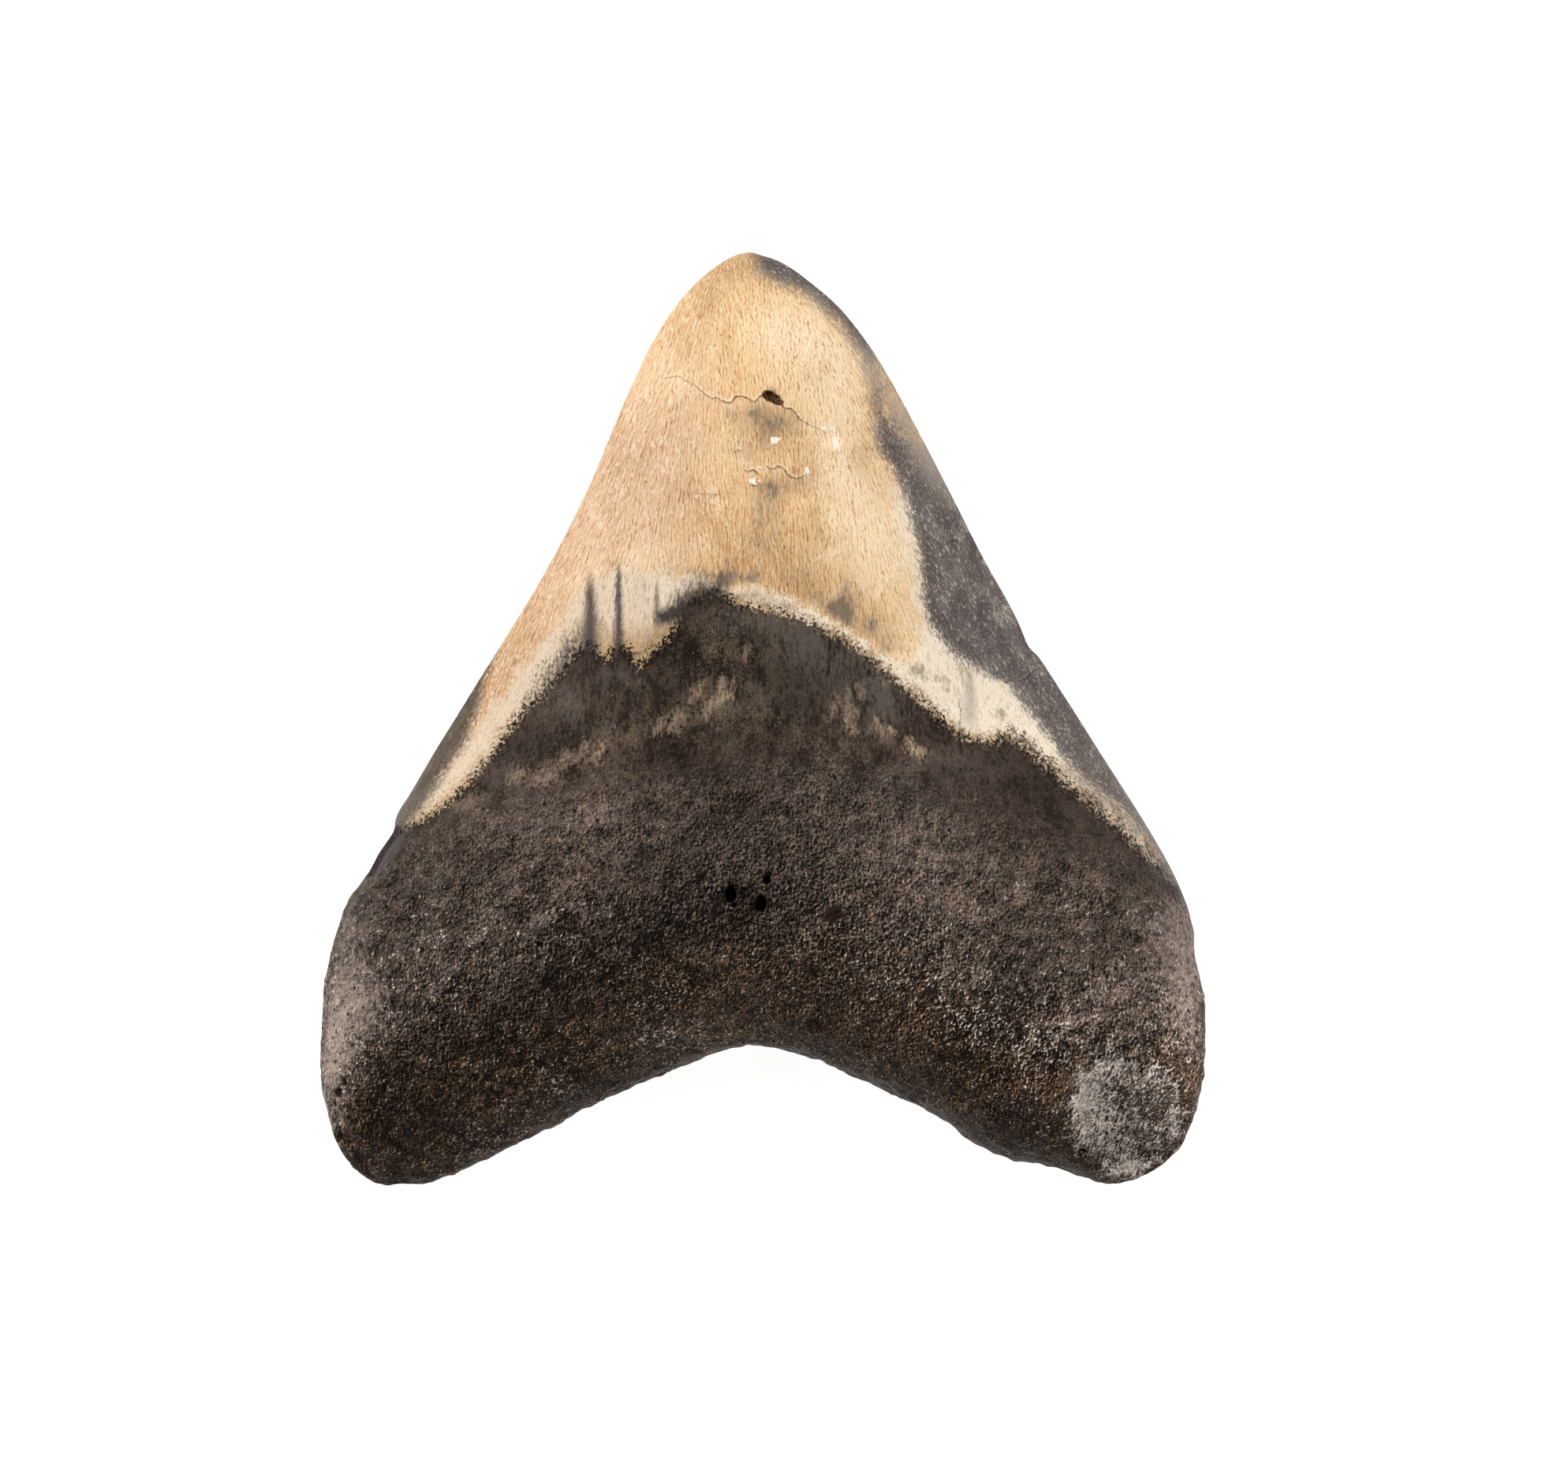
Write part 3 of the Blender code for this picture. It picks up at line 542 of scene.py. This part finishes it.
toothFinish = {
    "enamelRoughness": 0.4,
    "boneRoughness": 0.42,
    "specularLevel": 0.05,
    "linePeriod": 0.48,  # millimetres between the dark lines of the enamel's grain
    "lineBend": 0.6,
    "lineJitter": 0.16,
    "leanStep": 0.15,  # radians; the grain turns in steps, so that it stays sharp
    "grainDepth": 0.035,
    "boneDepth": 0.12,
    "lumpDepth": 0.23,
    "poreDepth": 0.2,
    "enamelStep": 0.1,
    "crumbDepth": 0.07,
}
grooveLines = [  # furrows in the enamel's end: x, top, bottom, half width at each, strength
    (-22, 19.5, 7.4, 0.35, 1.45, 0.95), (-18.35, 21, 8.2, 0.26, 0.8, 0.95),
    (-13.5, 18.9, 12.6, 0.16, 0.42, 0.7), (-25.2, 12.4, 6.5, 0.2, 0.7, 0.4), (26.1, 9, 0.2, 0.3, 1.1, 0.35),
    (24.9, 4.6, -3, 0.05, 0.12, 0.8), (-4.6, 22.5, 16.5, 0.12, 0.3, 0.45),
]


class Painter:
    # short ways to add and join a material's nodes; lengths are in millimetres
    def __init__(self, material):
        self.tree = material.node_tree
        place = self.node("TexCoord").outputs["Object"]
        self.place = self.vector("SCALE", {0: place, "Scale": 1 / mm})
        self.x, self.y = self.field("seenX"), self.field("seenY")

    def node(self, kind, inputs=None, **settings):
        made = self.tree.nodes.new("ShaderNode" + kind)
        for name, value in settings.items():
            setattr(made, name, value)
        for name, value in (inputs or {}).items():
            self.feed(made.inputs[name], value)
        return made

    def feed(self, socket, value):
        if isinstance(value, bpy.types.NodeSocket):
            self.tree.links.new(value, socket)
        elif isinstance(value, str):
            socket.default_value = (*colours[value], 1)
        else:
            socket.default_value = value

    def field(self, name):
        return self.node("Attribute", attribute_name=name).outputs["Fac"]

    def vector(self, operation, inputs):
        return self.node("VectorMath", inputs, operation=operation).outputs[0]

    def turn(self, angle):
        inputs = {"Vector": self.place, "Angle": angle}
        return self.node("VectorRotate", inputs, rotation_type="Z_AXIS").outputs[0]

    def math(self, operation, first, second=0, clamp=False):
        inputs = {0: first, 1: second}
        return self.node("Math", inputs, operation=operation, use_clamp=clamp).outputs[0]

    def add(self, *values):
        total = values[0]
        for value in values[1:]:
            total = self.math("ADD", total, value)
        return total

    def times(self, *values):
        total = values[0]
        for value in values[1:]:
            total = self.math("MULTIPLY", total, value)
        return total

    def larger(self, first, second):
        return self.math("MAXIMUM", first, second)

    def most(self, value, limit):
        return self.math("MINIMUM", value, limit)

    def size(self, value):
        return self.math("ABSOLUTE", value)

    def inverse(self, value):
        return self.math("SUBTRACT", 1, value, clamp=True)

    def step(self, value, low, high):
        inputs = {0: value, 1: low, 2: high}
        return self.node("MapRange", inputs, interpolation_type="SMOOTHSTEP").outputs[0]

    def ramp(self, value, low, high, fromLow=0, fromHigh=1):
        inputs = {0: value, 1: fromLow, 2: fromHigh, 3: low, 4: high}
        return self.node("MapRange", inputs).outputs[0]

    def vary(self, noise, low, high):
        # a share that follows a noise which runs from -1 to 1
        return self.ramp(noise, low, high, -1, 1)

    def blend(self, share, first, second, way="MIX"):
        made = self.node("Mix", data_type="RGBA", clamp_factor=True, blend_type=way)
        self.feed(made.inputs["Factor"], share)
        self.feed(made.inputs[6], first)
        self.feed(made.inputs[7], second)
        return made.outputs[2]

    def scaled(self, place, across, along, shift):
        inputs = {"Vector": place, "Location": (shift, shift, shift), "Scale": (across, along, across)}
        return self.node("Mapping", inputs, vector_type="TEXTURE").outputs[0]

    def noise(self, across, along, shift, detail=2, rough=0.5, warp=0, place=None):
        spot = self.scaled(place or self.place, across, along, shift)
        inputs = {"Vector": spot, "Scale": 1, "Detail": detail, "Roughness": rough, "Distortion": warp}
        return self.node("TexNoise", inputs).outputs[0]

    def swing(self, *settings, **named):
        # noise that runs from about -1 to 1
        return self.ramp(self.noise(*settings, **named), -1, 1, 0.34, 0.66)

    def pores(self, across, along, shift, share, size):
        # small round holes in some of the cells of a random grid
        spot = self.scaled(self.place, across, along, shift)
        cell = self.node("TexVoronoi", {"Vector": spot, "Scale": 1}, feature="F1")
        chance = self.node("SeparateColor", {0: cell.outputs["Color"]}).outputs[0]
        reach = self.times(self.step(chance, self.inverse(share), 1), size)
        return self.step(self.math("SUBTRACT", reach, cell.outputs["Distance"]), -0.03, 0.06)


class Textures:
    # the noises that the parts of the tooth share; each runs from about -1 to 1
    def __init__(self, p):
        self.painter = p
        combed = self.combed()
        aside = p.node("SeparateXYZ", {0: combed}).outputs[0]
        bend = p.ramp(p.noise(2.4, 7, 13, place=combed), -1, 1)
        jitter = p.times(p.swing(0.7, 1.5, 17), toothFinish["lineJitter"])
        aside = p.add(aside, jitter, p.times(bend, toothFinish["lineBend"]))
        wave = p.math("SINE", p.times(aside, 2 * math.pi / toothFinish["linePeriod"]))
        self.threads = p.swing(0.26, 3, 11, rough=0.6, place=combed)
        self.lines = p.add(p.times(wave, 0.72), p.times(self.threads, 0.42))
        self.flecks = p.swing(0.26, 0.8, 21, rough=0.6, place=combed)
        self.speck = p.swing(0.24, 0.3, 31, detail=3, rough=0.62)
        self.streak = p.swing(0.34, 2, 33, detail=3, rough=0.6)
        self.crumb = p.swing(0.44, 0.52, 41, detail=4, rough=0.68)
        self.patch = p.swing(2.2, 3.8, 15, detail=4, rough=0.62)
        self.cloud = p.swing(5.5, 8, 5, detail=3, rough=0.55)
        self.grain = self.boneGrain(p.place)
        # painted light and shade: the grain minus the grain a little towards the light, so that its crests
        # are light on one side and shaded on the other
        beside = self.boneGrain(p.vector("ADD", {0: p.place, 1: (-0.13, 0.12, 0)}))
        self.rise = p.math("SUBTRACT", self.grain, beside)  # towards one side
        self.lumps = p.swing(0.95, 1.3, 133, detail=3, rough=0.6)
        self.fibre = p.swing(0.3, 1.3, 55, detail=3, rough=0.6, place=p.turn(0.6))
        crowd = p.most(p.add(0.26, p.times(p.field("bonePale"), 0.3)), 0.6)
        self.pores = p.larger(p.pores(0.95, 1.25, 101, crowd, 0.27), p.pores(0.6, 0.75, 103, crowd, 0.26))

    def combed(self):
        # the place turned so that its second axis runs with the enamel's grain
        p = self.painter
        patches = p.noise(1.3, 7, 3, detail=1)
        wanted = p.add(p.field("lean"), p.ramp(patches, -0.11, 0.11, 0.3, 0.7))
        return p.turn(p.math("SNAP", wanted, toothFinish["leanStep"]))

    def boneGrain(self, place):
        return self.painter.swing(0.36, 0.46, 81, detail=3, rough=0.65, warp=0.4, place=place)

    def mix(self, *values, **shares):
        # some of the noises, each times its share, added to some values
        p = self.painter
        return p.add(*values, *(p.times(getattr(self, name), share) for name, share in shares.items()))


def crownColour(p, t):
    across = p.field("across")
    flank = p.step(p.size(across), 0.35, 0.8)
    pinkShare = p.times(p.step(across, -0.1, -0.6), p.ramp(p.y, 0.35, 1, 50, 34))
    shade = p.blend(pinkShare, "tan", "pinkTan")
    patchy = p.vary(t.patch, 0.7, 1.2)
    shade = p.blend(p.most(p.times(p.field("cream"), patchy), 0.95), shade, "paleTan")
    shade = p.blend(p.most(p.times(p.field("brown"), p.vary(t.patch, 1.2, 0.75)), 0.92), shade, "ochre")
    shade = p.blend(p.times(p.step(t.cloud, 0, 1.1), 0.35), shade, "cloudDark", "MULTIPLY")

    # the grain's dark lines, which fade and break, and the short flecks between them
    worn = p.step(p.add(t.patch, t.cloud), -1.4, 0.5)
    gaps = p.step(t.mix(t.crumb, t.flecks, patch=0.5), -1.5, 0.9)
    dark = p.times(p.step(t.lines, 0.28, 0.95), p.ramp(worn, 0.55, 1.1))
    dark = p.times(dark, p.ramp(flank, 1, 0.8), p.ramp(gaps, 0.35, 1.1))
    shade = p.blend(dark, shade, "grainDark", "MULTIPLY")
    fleckShare = p.times(p.ramp(flank, 0.12, 0.5), patchy)
    shade = p.blend(p.times(p.step(t.flecks, 0.45, 1.3), fleckShare), shade, "grainDark", "MULTIPLY")
    shade = p.blend(p.times(p.step(t.lines, -0.3, -1), 0.3), shade, "grainPale")
    shade = p.blend(p.times(p.step(t.flecks, -0.4, -1.2), p.ramp(flank, 0.25, 0.5)), shade, "grainPale")

    mottled = t.mix(t.patch, speck=0.35)
    shade = p.blend(p.times(p.step(mottled, 0.45, 1.4), 0.4), shade, "grainPale")
    shade = p.blend(p.times(p.step(mottled, -0.5, -1.5), 0.35), shade, "cloudDark", "MULTIPLY")
    dots = p.step(p.times(t.speck, t.threads), 0.7, 0.95)
    shade = p.blend(p.times(dots, 0.5), shade, "ochre")
    stain = p.times(p.field("stain"), p.vary(t.patch, 0.45, 1.45), p.vary(t.streak, 0.75, 1.25))
    stain = p.times(p.step(stain, 0.05, 1.25), p.vary(t.lines, 1.1, 0.8))
    shade = p.blend(p.most(stain, 0.9), shade, "greyStain")
    combedEnd = p.times(p.step(t.streak, 0, 1.1), p.step(p.field("enamel"), 11, 3), 0.6)
    shade = p.blend(combedEnd, shade, "cloudDark", "MULTIPLY")
    return p.blend(p.step(t.mix(p.field("chalk"), flecks=0.3), 0.4, 0.62), shade, "chalk")


def stainColour(p, t):
    # grey, with short pale flecks that lie along the grain
    mottled = p.step(t.mix(0.1, patch=0.8, speck=0.8, crumb=0.4), -1.1, 1.3)
    stained = p.blend(mottled, "bandDark", "bandMid")
    edge = p.step(t.mix(p.field("side"), patch=0.8), 3.6, 0.2)
    edge = p.times(edge, p.step(p.y, 24, 34), p.step(p.y, 50, 42), 0.8)
    stained = p.blend(edge, stained, "bandTan")
    fleck = p.step(t.mix(t.flecks, patch=0.25, crumb=0.2), 0.45, 1.05)
    return p.blend(p.times(fleck, 0.75), stained, "bandPale")


def edgeStain(p, shade, t):
    # the grey stain along the right cutting edge, and low on the left one
    blur = t.mix(flecks=0.55, speck=0.25, patch=0.3)
    upper = p.step(p.y, 33, 42)
    reach = p.add(p.field("band"), p.times(blur, p.ramp(upper, 1.2, 1)))
    share = p.step(reach, p.ramp(upper, -0.6, -1), p.ramp(upper, 0.6, 1.5))
    worn = p.step(t.mix(p.field("mottle"), patch=0.3, speck=0.3), 0.3, 1.3)
    shade = p.blend(p.times(share, p.ramp(worn, 0.97, 0.25)), shade, stainColour(p, t))
    leftShare = p.step(p.add(p.field("leftStain"), p.times(blur, 0.9), 0.3), -0.9, 0.9)
    stained = p.blend(p.step(t.mix(t.patch, speck=0.8, flecks=0.4), -0.9, 1.6), "leftDark", "leftMid")
    return p.blend(p.times(leftShare, 0.95), shade, stained)


def creamTone(p, t, leftPart):
    # the pale band's own colours: dimmer on the left, worn in spots, tan towards its ragged end
    pale = p.blend(leftPart, "cream", "creamLeft")
    pale = p.blend(p.times(p.step(t.mix(t.patch, speck=0.4), -0.2, -1.2), 0.5), pale, "creamTan")
    worn = p.step(t.mix(p.field("creamShade"), patch=0.25, crumb=0.3, streak=0.15), 0.25, 0.95)
    wornTone = p.blend(p.step(p.add(t.speck, t.crumb), -1.3, 1), "greyStain", "creamTan")
    pale = p.blend(p.times(worn, 0.9), pale, wornTone)
    pale = p.blend(p.times(p.step(p.x, 8, 0), p.inverse(leftPart), 0.4), pale, "creamTan")
    furrowed = p.times(leftPart, p.step(p.x, -26, -23.5))
    fringe = t.mix(p.field("enamel"), crumb=0.8, speck=0.5, patch=0.6)
    pale = p.blend(p.times(p.step(fringe, p.ramp(furrowed, 1.7, 4.2), 0.2), 0.9), pale, "fringeTan")
    return p.blend(p.times(p.step(t.streak, 0.15, 1.1), p.ramp(furrowed, 0.42, 0.75)), pale, "creamGrey")


def creamBand(p, shade, t):
    # the pale band just above the enamel's ragged lower end
    leftPart = p.step(p.x, -10, -15)
    enamel, band = p.field("enamel"), p.field("band")
    ragged = t.mix(speck=0.45, streak=0.35, crumb=0.65)
    top = p.add(p.field("creamTop"), ragged, p.times(t.patch, p.ramp(leftPart, 0.2, 0.7)))
    share = p.step(top, p.ramp(leftPart, -0.3, -0.9), p.ramp(leftPart, 0.25, 0.8))
    low = p.step(t.mix(p.field("creamLow"), ragged, patch=0.5), -0.5, 0.5)
    ending = p.step(t.mix(p.x, t.speck, patch=1.5), 36.5, 41)
    share = p.times(share, p.ramp(low, 0.12, 1), p.ramp(ending, 1, 0.32))
    rim = p.step(t.mix(p.add(band, p.times(ragged, 1.2)), patch=0.6), -2.6, -0.8)
    rim = p.times(rim, p.step(p.y, 33, 26), p.step(p.y, 3, 10), 0.7)

    dim = p.blend(p.step(t.mix(t.patch, 0.15, speck=0.7, crumb=0.6), -0.9, 1.8), "bandDark", "creamTan")
    shade = p.blend(p.times(p.step(p.x, 25, 31), p.step(band, 0.8, -0.4)), shade, dim)
    shade = p.blend(p.larger(share, rim), shade, creamTone(p, t, leftPart))

    # its left end fades downwards in dark streaks, and all of it frays at the border
    high = p.times(p.step(p.y, -1, 7), -2)
    fade = t.mix(enamel, high, speck=0.5, streak=0.8, crumb=0.8)
    grey = p.times(p.step(fade, 1, -0.9), p.step(p.x, -21, -24.5), 0.85)
    dusk = p.blend(p.step(p.add(t.crumb, t.streak), -1.2, 0.8), "bandDark", "creamGrey")
    frayed = p.step(t.mix(enamel, speck=0.6, crumb=0.6), 0.45, -0.15)
    return p.blend(p.times(frayed, p.ramp(leftPart, 0.7, 0.9)), p.blend(grey, shade, dusk), "bandDark")


def grooves(p, t):
    wobble = t.mix(streak=0.16, speck=0.1)
    total = 0
    for x, top, bottom, narrow, wide, strength in grooveLines:
        away = p.size(p.add(p.x, -x, wobble))
        width = p.ramp(p.y, narrow, wide, top, bottom)
        run = p.times(p.step(p.y, top, top - 4), p.step(p.y, bottom - 2.5, bottom), strength)
        total = p.larger(total, p.times(p.step(p.math("DIVIDE", away, width), 1.5, 0.1), run))
    return total


def bourletteColour(p, t):
    fibre = t.mix(streak=0.65, speck=0.4, crumb=0.4, patch=0.5, cloud=0.3)
    shade = p.blend(p.step(fibre, -1.1, 1.5), "bourletteDark", "bourletteMid")
    hazy = p.ramp(t.mix(t.patch, streak=1.2), 0.2, 1.7, -1.6, 1.6)
    haze = p.times(p.field("haze"), hazy, p.vary(t.crumb, 0.6, 1.35))
    shade = p.blend(p.most(haze, 0.92), shade, "bourletteHaze")
    olive = p.times(p.field("olive"), p.step(t.mix(t.speck, patch=0.6, crumb=0.5), -0.2, 1.3))
    threads = p.times(p.step(p.size(t.crumb), 0.26, 0.04), p.step(p.add(t.patch, t.cloud), -0.9, 0.9), 0.8)
    olive = p.larger(olive, p.times(threads, p.ramp(p.field("olive"), 0.3, 1)))
    shade = p.blend(p.most(olive, 0.9), shade, "olive")
    dashes = t.mix(p.times(p.field("streaks"), 0.5), streak=0.45, speck=0.25, crumb=0.35)
    dots = p.times(p.step(t.mix(t.speck, crumb=0.5), 0.95, 1.5), p.add(p.field("olive"), 0.1), 0.8)
    shade = p.blend(p.larger(p.times(p.step(dashes, -0.8, 1.7), 0.85), dots), shade, "streakTan")
    return p.blend(p.times(p.step(t.mix(p.field("hairlines"), speck=0.4), -0.4, 0.6), 0.85), shade, "black")


def breakColour(p, t):
    # the broken end of the right lobe: paler spongy bone, with painted light on its crests and painted shade
    # in its hollows
    lit = t.mix(p.field("breakLight"), 0.32, fibre=0.45, rise=0.9, lumps=0.45)
    # painted shade in the hollows, painted light on the crests
    worn = p.blend(p.step(lit, -0.4, 0.8), "breakDark", "breakMid")
    return p.blend(p.step(lit, 0.4, 1.5), worn, "breakPale")


def boneColour(p, t):
    dark, pale, base = p.field("boneDark"), p.field("bonePale"), p.field("base")
    deep = p.step(t.mix(base, cloud=2), 28, 17)
    rough = p.times(p.vary(t.patch, 0.75, 1.25), p.ramp(deep, 0.82, 1.35), p.ramp(pale, 1, 0.6))
    rough = p.times(rough, p.ramp(p.field("bone"), 0.55, 1, 0, 9))
    rough = p.times(rough, p.ramp(p.size(p.add(p.x, -5)), 1.3, 1, 5, 22))
    tone = p.add(
        p.ramp(deep, 0.4, 0.31),
        # the grain, with its painted light and shade
        p.times(t.mix(grain=0.32, rise=0.4, speck=0.32), rough),
        p.times(t.lumps, p.ramp(deep, 0.18, 0.34)),
        p.times(t.patch, 0.08),
        p.times(p.field("relief"), 0.45),
        p.times(pale, 0.32),
        p.times(dark, -0.24),
        # painted light and shade of the pushed relief
        p.times(p.field("slope"), 0.9),
    )
    share = p.step(tone, -0.25, 1.9)
    warm = p.times(p.step(t.mix(t.patch, speck=0.9), -0.3, 1.1), 0.6)
    shade = p.blend(share, "boneDark", p.blend(warm, "bonePale", "boneWarm"))
    basal = p.times(p.step(t.mix(base, cloud=2.5), 20, 9), p.step(pale, 0.9, 0.2), 0.9)
    shade = p.blend(basal, shade, p.blend(share, "baseDark", "basePale"))
    # the rosy pale follows bonePale: partly rubbed bone, partly painted light
    rose = p.times(p.step(t.mix(pale, grain=0.3, lumps=0.2), 0.35, 1.35), 0.85)
    shade = p.blend(rose, shade, "rosePale")
    # painted glints: bright specks on the root's crests, mostly low on the root
    paintedGlintZone = p.step(t.mix(p.y, cloud=3, patch=3), -16, -30)
    crest = t.mix(t.grain, p.field("glints"), rise=0.7, lumps=0.6, speck=0.3)
    shade = p.blend(p.times(p.step(crest, 1.45, 2.15), p.ramp(paintedGlintZone, 0.15, 1)), shade, "glint")
    broken = p.step(t.mix(p.field("broken"), grain=0.7, lumps=0.7), -1.3, 0.9)
    shade = p.blend(p.times(broken, 0.92), shade, breakColour(p, t))
    # the pores, painted nearly black: painted shade in them
    return p.blend(p.times(t.pores, 0.92), shade, "boneDark")


def crackColour(p, shade, t):
    gap = t.mix(p.field("crack"), speck=0.05, flecks=0.06)
    width = p.field("crackWidth")
    # the crack's dark line is partly stain, partly painted shade in it; the pale lip above it is a painted
    # highlight
    line = p.step(p.math("SUBTRACT", p.size(gap), p.times(width, 0.6)), 0.06, -0.06)
    lip = p.times(p.step(p.size(p.add(gap, -0.26)), 0.2, 0.04), p.step(width, 0, 0.12), 0.3)
    stained = p.step(p.field("band"), -0.6, 0.6)
    lipTone, lineTone = p.blend(stained, "grainPale", "bandPale"), p.blend(stained, "crackBrown", "boneDark")
    shade = p.blend(line, p.blend(lip, shade, lipTone), lineTone)
    # the hole is brown with black, the black being painted shade in it
    brown = p.blend(p.step(p.add(t.speck, t.flecks), -0.9, 0.5), "black", "holeBrown")
    return p.blend(p.step(t.mix(p.field("hole"), speck=0.3, crumb=0.4), -0.1, 0.15), shade, brown)


def enamelColour(p, t):
    crown = edgeStain(p, creamBand(p, crownColour(p, t), t), t)
    smudge = p.step(t.mix(p.field("smudge"), streak=0.35, flecks=0.3, patch=0.35), -1.6, 1)
    crown = p.blend(p.times(smudge, 0.98), crown, "smudge")
    crown = p.blend(grooves(p, t), crown, "bandDark")
    return crackColour(p, crown, t)


def pitColour(p, shade, t):
    # the chip at the shoulder, the vessel openings and the one that sediment plugs
    chip = p.step(t.mix(p.field("chip"), speck=0.4, crumb=0.5), -0.3, 0.7)
    shade = p.blend(p.times(chip, 0.7), shade, "bandDark")
    # inside the openings: brown fill, with black painted shade
    inside = p.blend(p.step(t.mix(t.speck, patch=0.5), -0.3, 0.9), "black", "pitBrown")
    shade = p.blend(p.step(p.field("pits"), 0.25, 0.7), shade, inside)
    crumb = p.times(p.field("crumb"), p.vary(p.add(t.speck, t.crumb), 0.5, 1.5))
    return p.blend(p.step(crumb, 0.35, 0.7), shade, "pitBrown")


def surfaceHeight(p, t, enamelShare, boneShare):
    depth = toothFinish["grainDepth"]
    bone = t.mix(
        grain=toothFinish["boneDepth"], lumps=toothFinish["lumpDepth"], pores=-toothFinish["poreDepth"]
    )
    enamel = p.add(
        p.times(t.lines, enamelShare, -depth),
        t.mix(speck=depth, patch=1.5 * depth),
        p.times(enamelShare, toothFinish["enamelStep"]),
        p.times(t.crumb, p.inverse(enamelShare), toothFinish["crumbDepth"]),
    )
    return p.add(p.times(bone, boneShare), p.times(enamel, p.inverse(boneShare)))


def paintTooth():
    material = bpy.data.materials.new("fossilTooth")
    material.use_nodes = True
    shader = material.node_tree.nodes["Principled BSDF"]
    p = Painter(material)
    t = Textures(p)

    jagged = t.mix(p.field("enamel"), speck=0.6, streak=0.3, crumb=0.9)
    enamelShare = p.step(jagged, -0.35, 0.35)
    boneShare = p.step(t.mix(p.field("bone"), speck=1.2, patch=1.6), -2.4, 3.4)
    crown = p.blend(enamelShare, bourletteColour(p, t), enamelColour(p, t))
    shade = pitColour(p, p.blend(boneShare, crown, boneColour(p, t)), t)
    # brightens and darkens the parts below the enamel: partly tone, partly painted light and shade
    level = p.times(p.field("level"), p.larger(p.inverse(enamelShare), boneShare))
    shade = p.vector("SCALE", {0: shade, "Scale": p.math("POWER", 2, level)})
    p.feed(shader.inputs["Base Color"], shade)

    rough = p.ramp(boneShare, toothFinish["enamelRoughness"], toothFinish["boneRoughness"])
    p.feed(shader.inputs["Roughness"], t.mix(rough, patch=0.04))
    shader.inputs["Specular IOR Level"].default_value = toothFinish["specularLevel"]
    height = surfaceHeight(p, t, enamelShare, boneShare)
    bump = p.node("Bump", {"Strength": 1, "Distance": mm, "Height": height})
    p.feed(shader.inputs["Normal"], bump.outputs[0])
    return material


def makeTooth():
    tooth = makeSurface()
    places, facing = readPoints(tooth.data)
    fields = measureFields(places, facing)
    roughen(tooth, places, facing, fields)
    storeFields(tooth.data, fields)
    tooth.data.materials.append(paintTooth())
    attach(tooth, "root")
    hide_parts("tooth")
    print("tooth: material with", len(tooth.data.materials[0].node_tree.nodes), "nodes")


stage = {
    "floorSize": 6,
    "floorColour": (0.35, 0.35, 0.35, 1),
    "floorRoughness": 0.9,
    "floorSpecular": 0.1,
    "floorGlow": 0.95,  # a lit table, as the studio uses for a shadowless ground
    "worldStrength": 0.12,
    "lights": [  # name, place, size, watts
        ("leftSoftbox", (-0.75, 0.3, 0.45), 0.5, 8.2),
        ("rightSoftbox", (0.8, 0.15, 0.35), 0.4, 4.3),
        ("topSoftbox", (-0.05, 0.6, 0.85), 0.7, 6.05),
    ],
    "lens": 150,
    "sensorWidth": 36,
    "nearest": 0.01,
    "viewWidth": 0.1988,  # what the frame takes in at the height of the tooth's edge
    "edgeHeight": 0.005,
    "aim": (0.0026, -0.00175),
}


def makeFloor():
    half = stage["floorSize"] / 2
    mesh = bpy.data.meshes.new("floor")
    corners = [(-half, -half, 0), (half, -half, 0), (half, half, 0), (-half, half, 0)]
    mesh.from_pydata(corners, [], [(0, 1, 2, 3)])
    floor = addObject("floor", mesh)
    material = bpy.data.materials.new("paleFloor")
    material.use_nodes = True
    shader = material.node_tree.nodes["Principled BSDF"]
    shader.inputs["Base Color"].default_value = stage["floorColour"]
    shader.inputs["Roughness"].default_value = stage["floorRoughness"]
    shader.inputs["Specular IOR Level"].default_value = stage["floorSpecular"]
    shader.inputs["Emission Color"].default_value = (1, 1, 1, 1)
    shader.inputs["Emission Strength"].default_value = stage["floorGlow"]
    mesh.materials.append(material)


def makeLights():
    for name, place, size, watts in stage["lights"]:
        light = bpy.data.lights.new(name, "AREA")
        light.shape = "SQUARE"
        light.size = size
        light.energy = watts
        lamp = addObject(name, light)
        lamp.location = place
        lamp.rotation_euler = (-Vector(place)).to_track_quat("-Z", "Y").to_euler()
    world = bpy.data.worlds.new("softWorld")
    world.use_nodes = True
    background = world.node_tree.nodes["Background"]
    background.inputs["Color"].default_value = (1, 1, 1, 1)
    background.inputs["Strength"].default_value = stage["worldStrength"]
    bpy.context.scene.world = world
    bpy.context.scene.view_settings.view_transform = "Standard"


def makeCamera():
    camera = bpy.data.cameras.new("camera")
    camera.lens = stage["lens"]
    camera.sensor_width = stage["sensorWidth"]
    camera.clip_start = stage["nearest"]
    away = stage["viewWidth"] * camera.lens / camera.sensor_width
    holder = addObject("camera", camera)
    holder.location = (*stage["aim"], away + stage["edgeHeight"])
    bpy.context.scene.camera = holder


makeTooth()
makeFloor()
makeLights()
makeCamera()
print("stage: floor, lights and camera are in place")
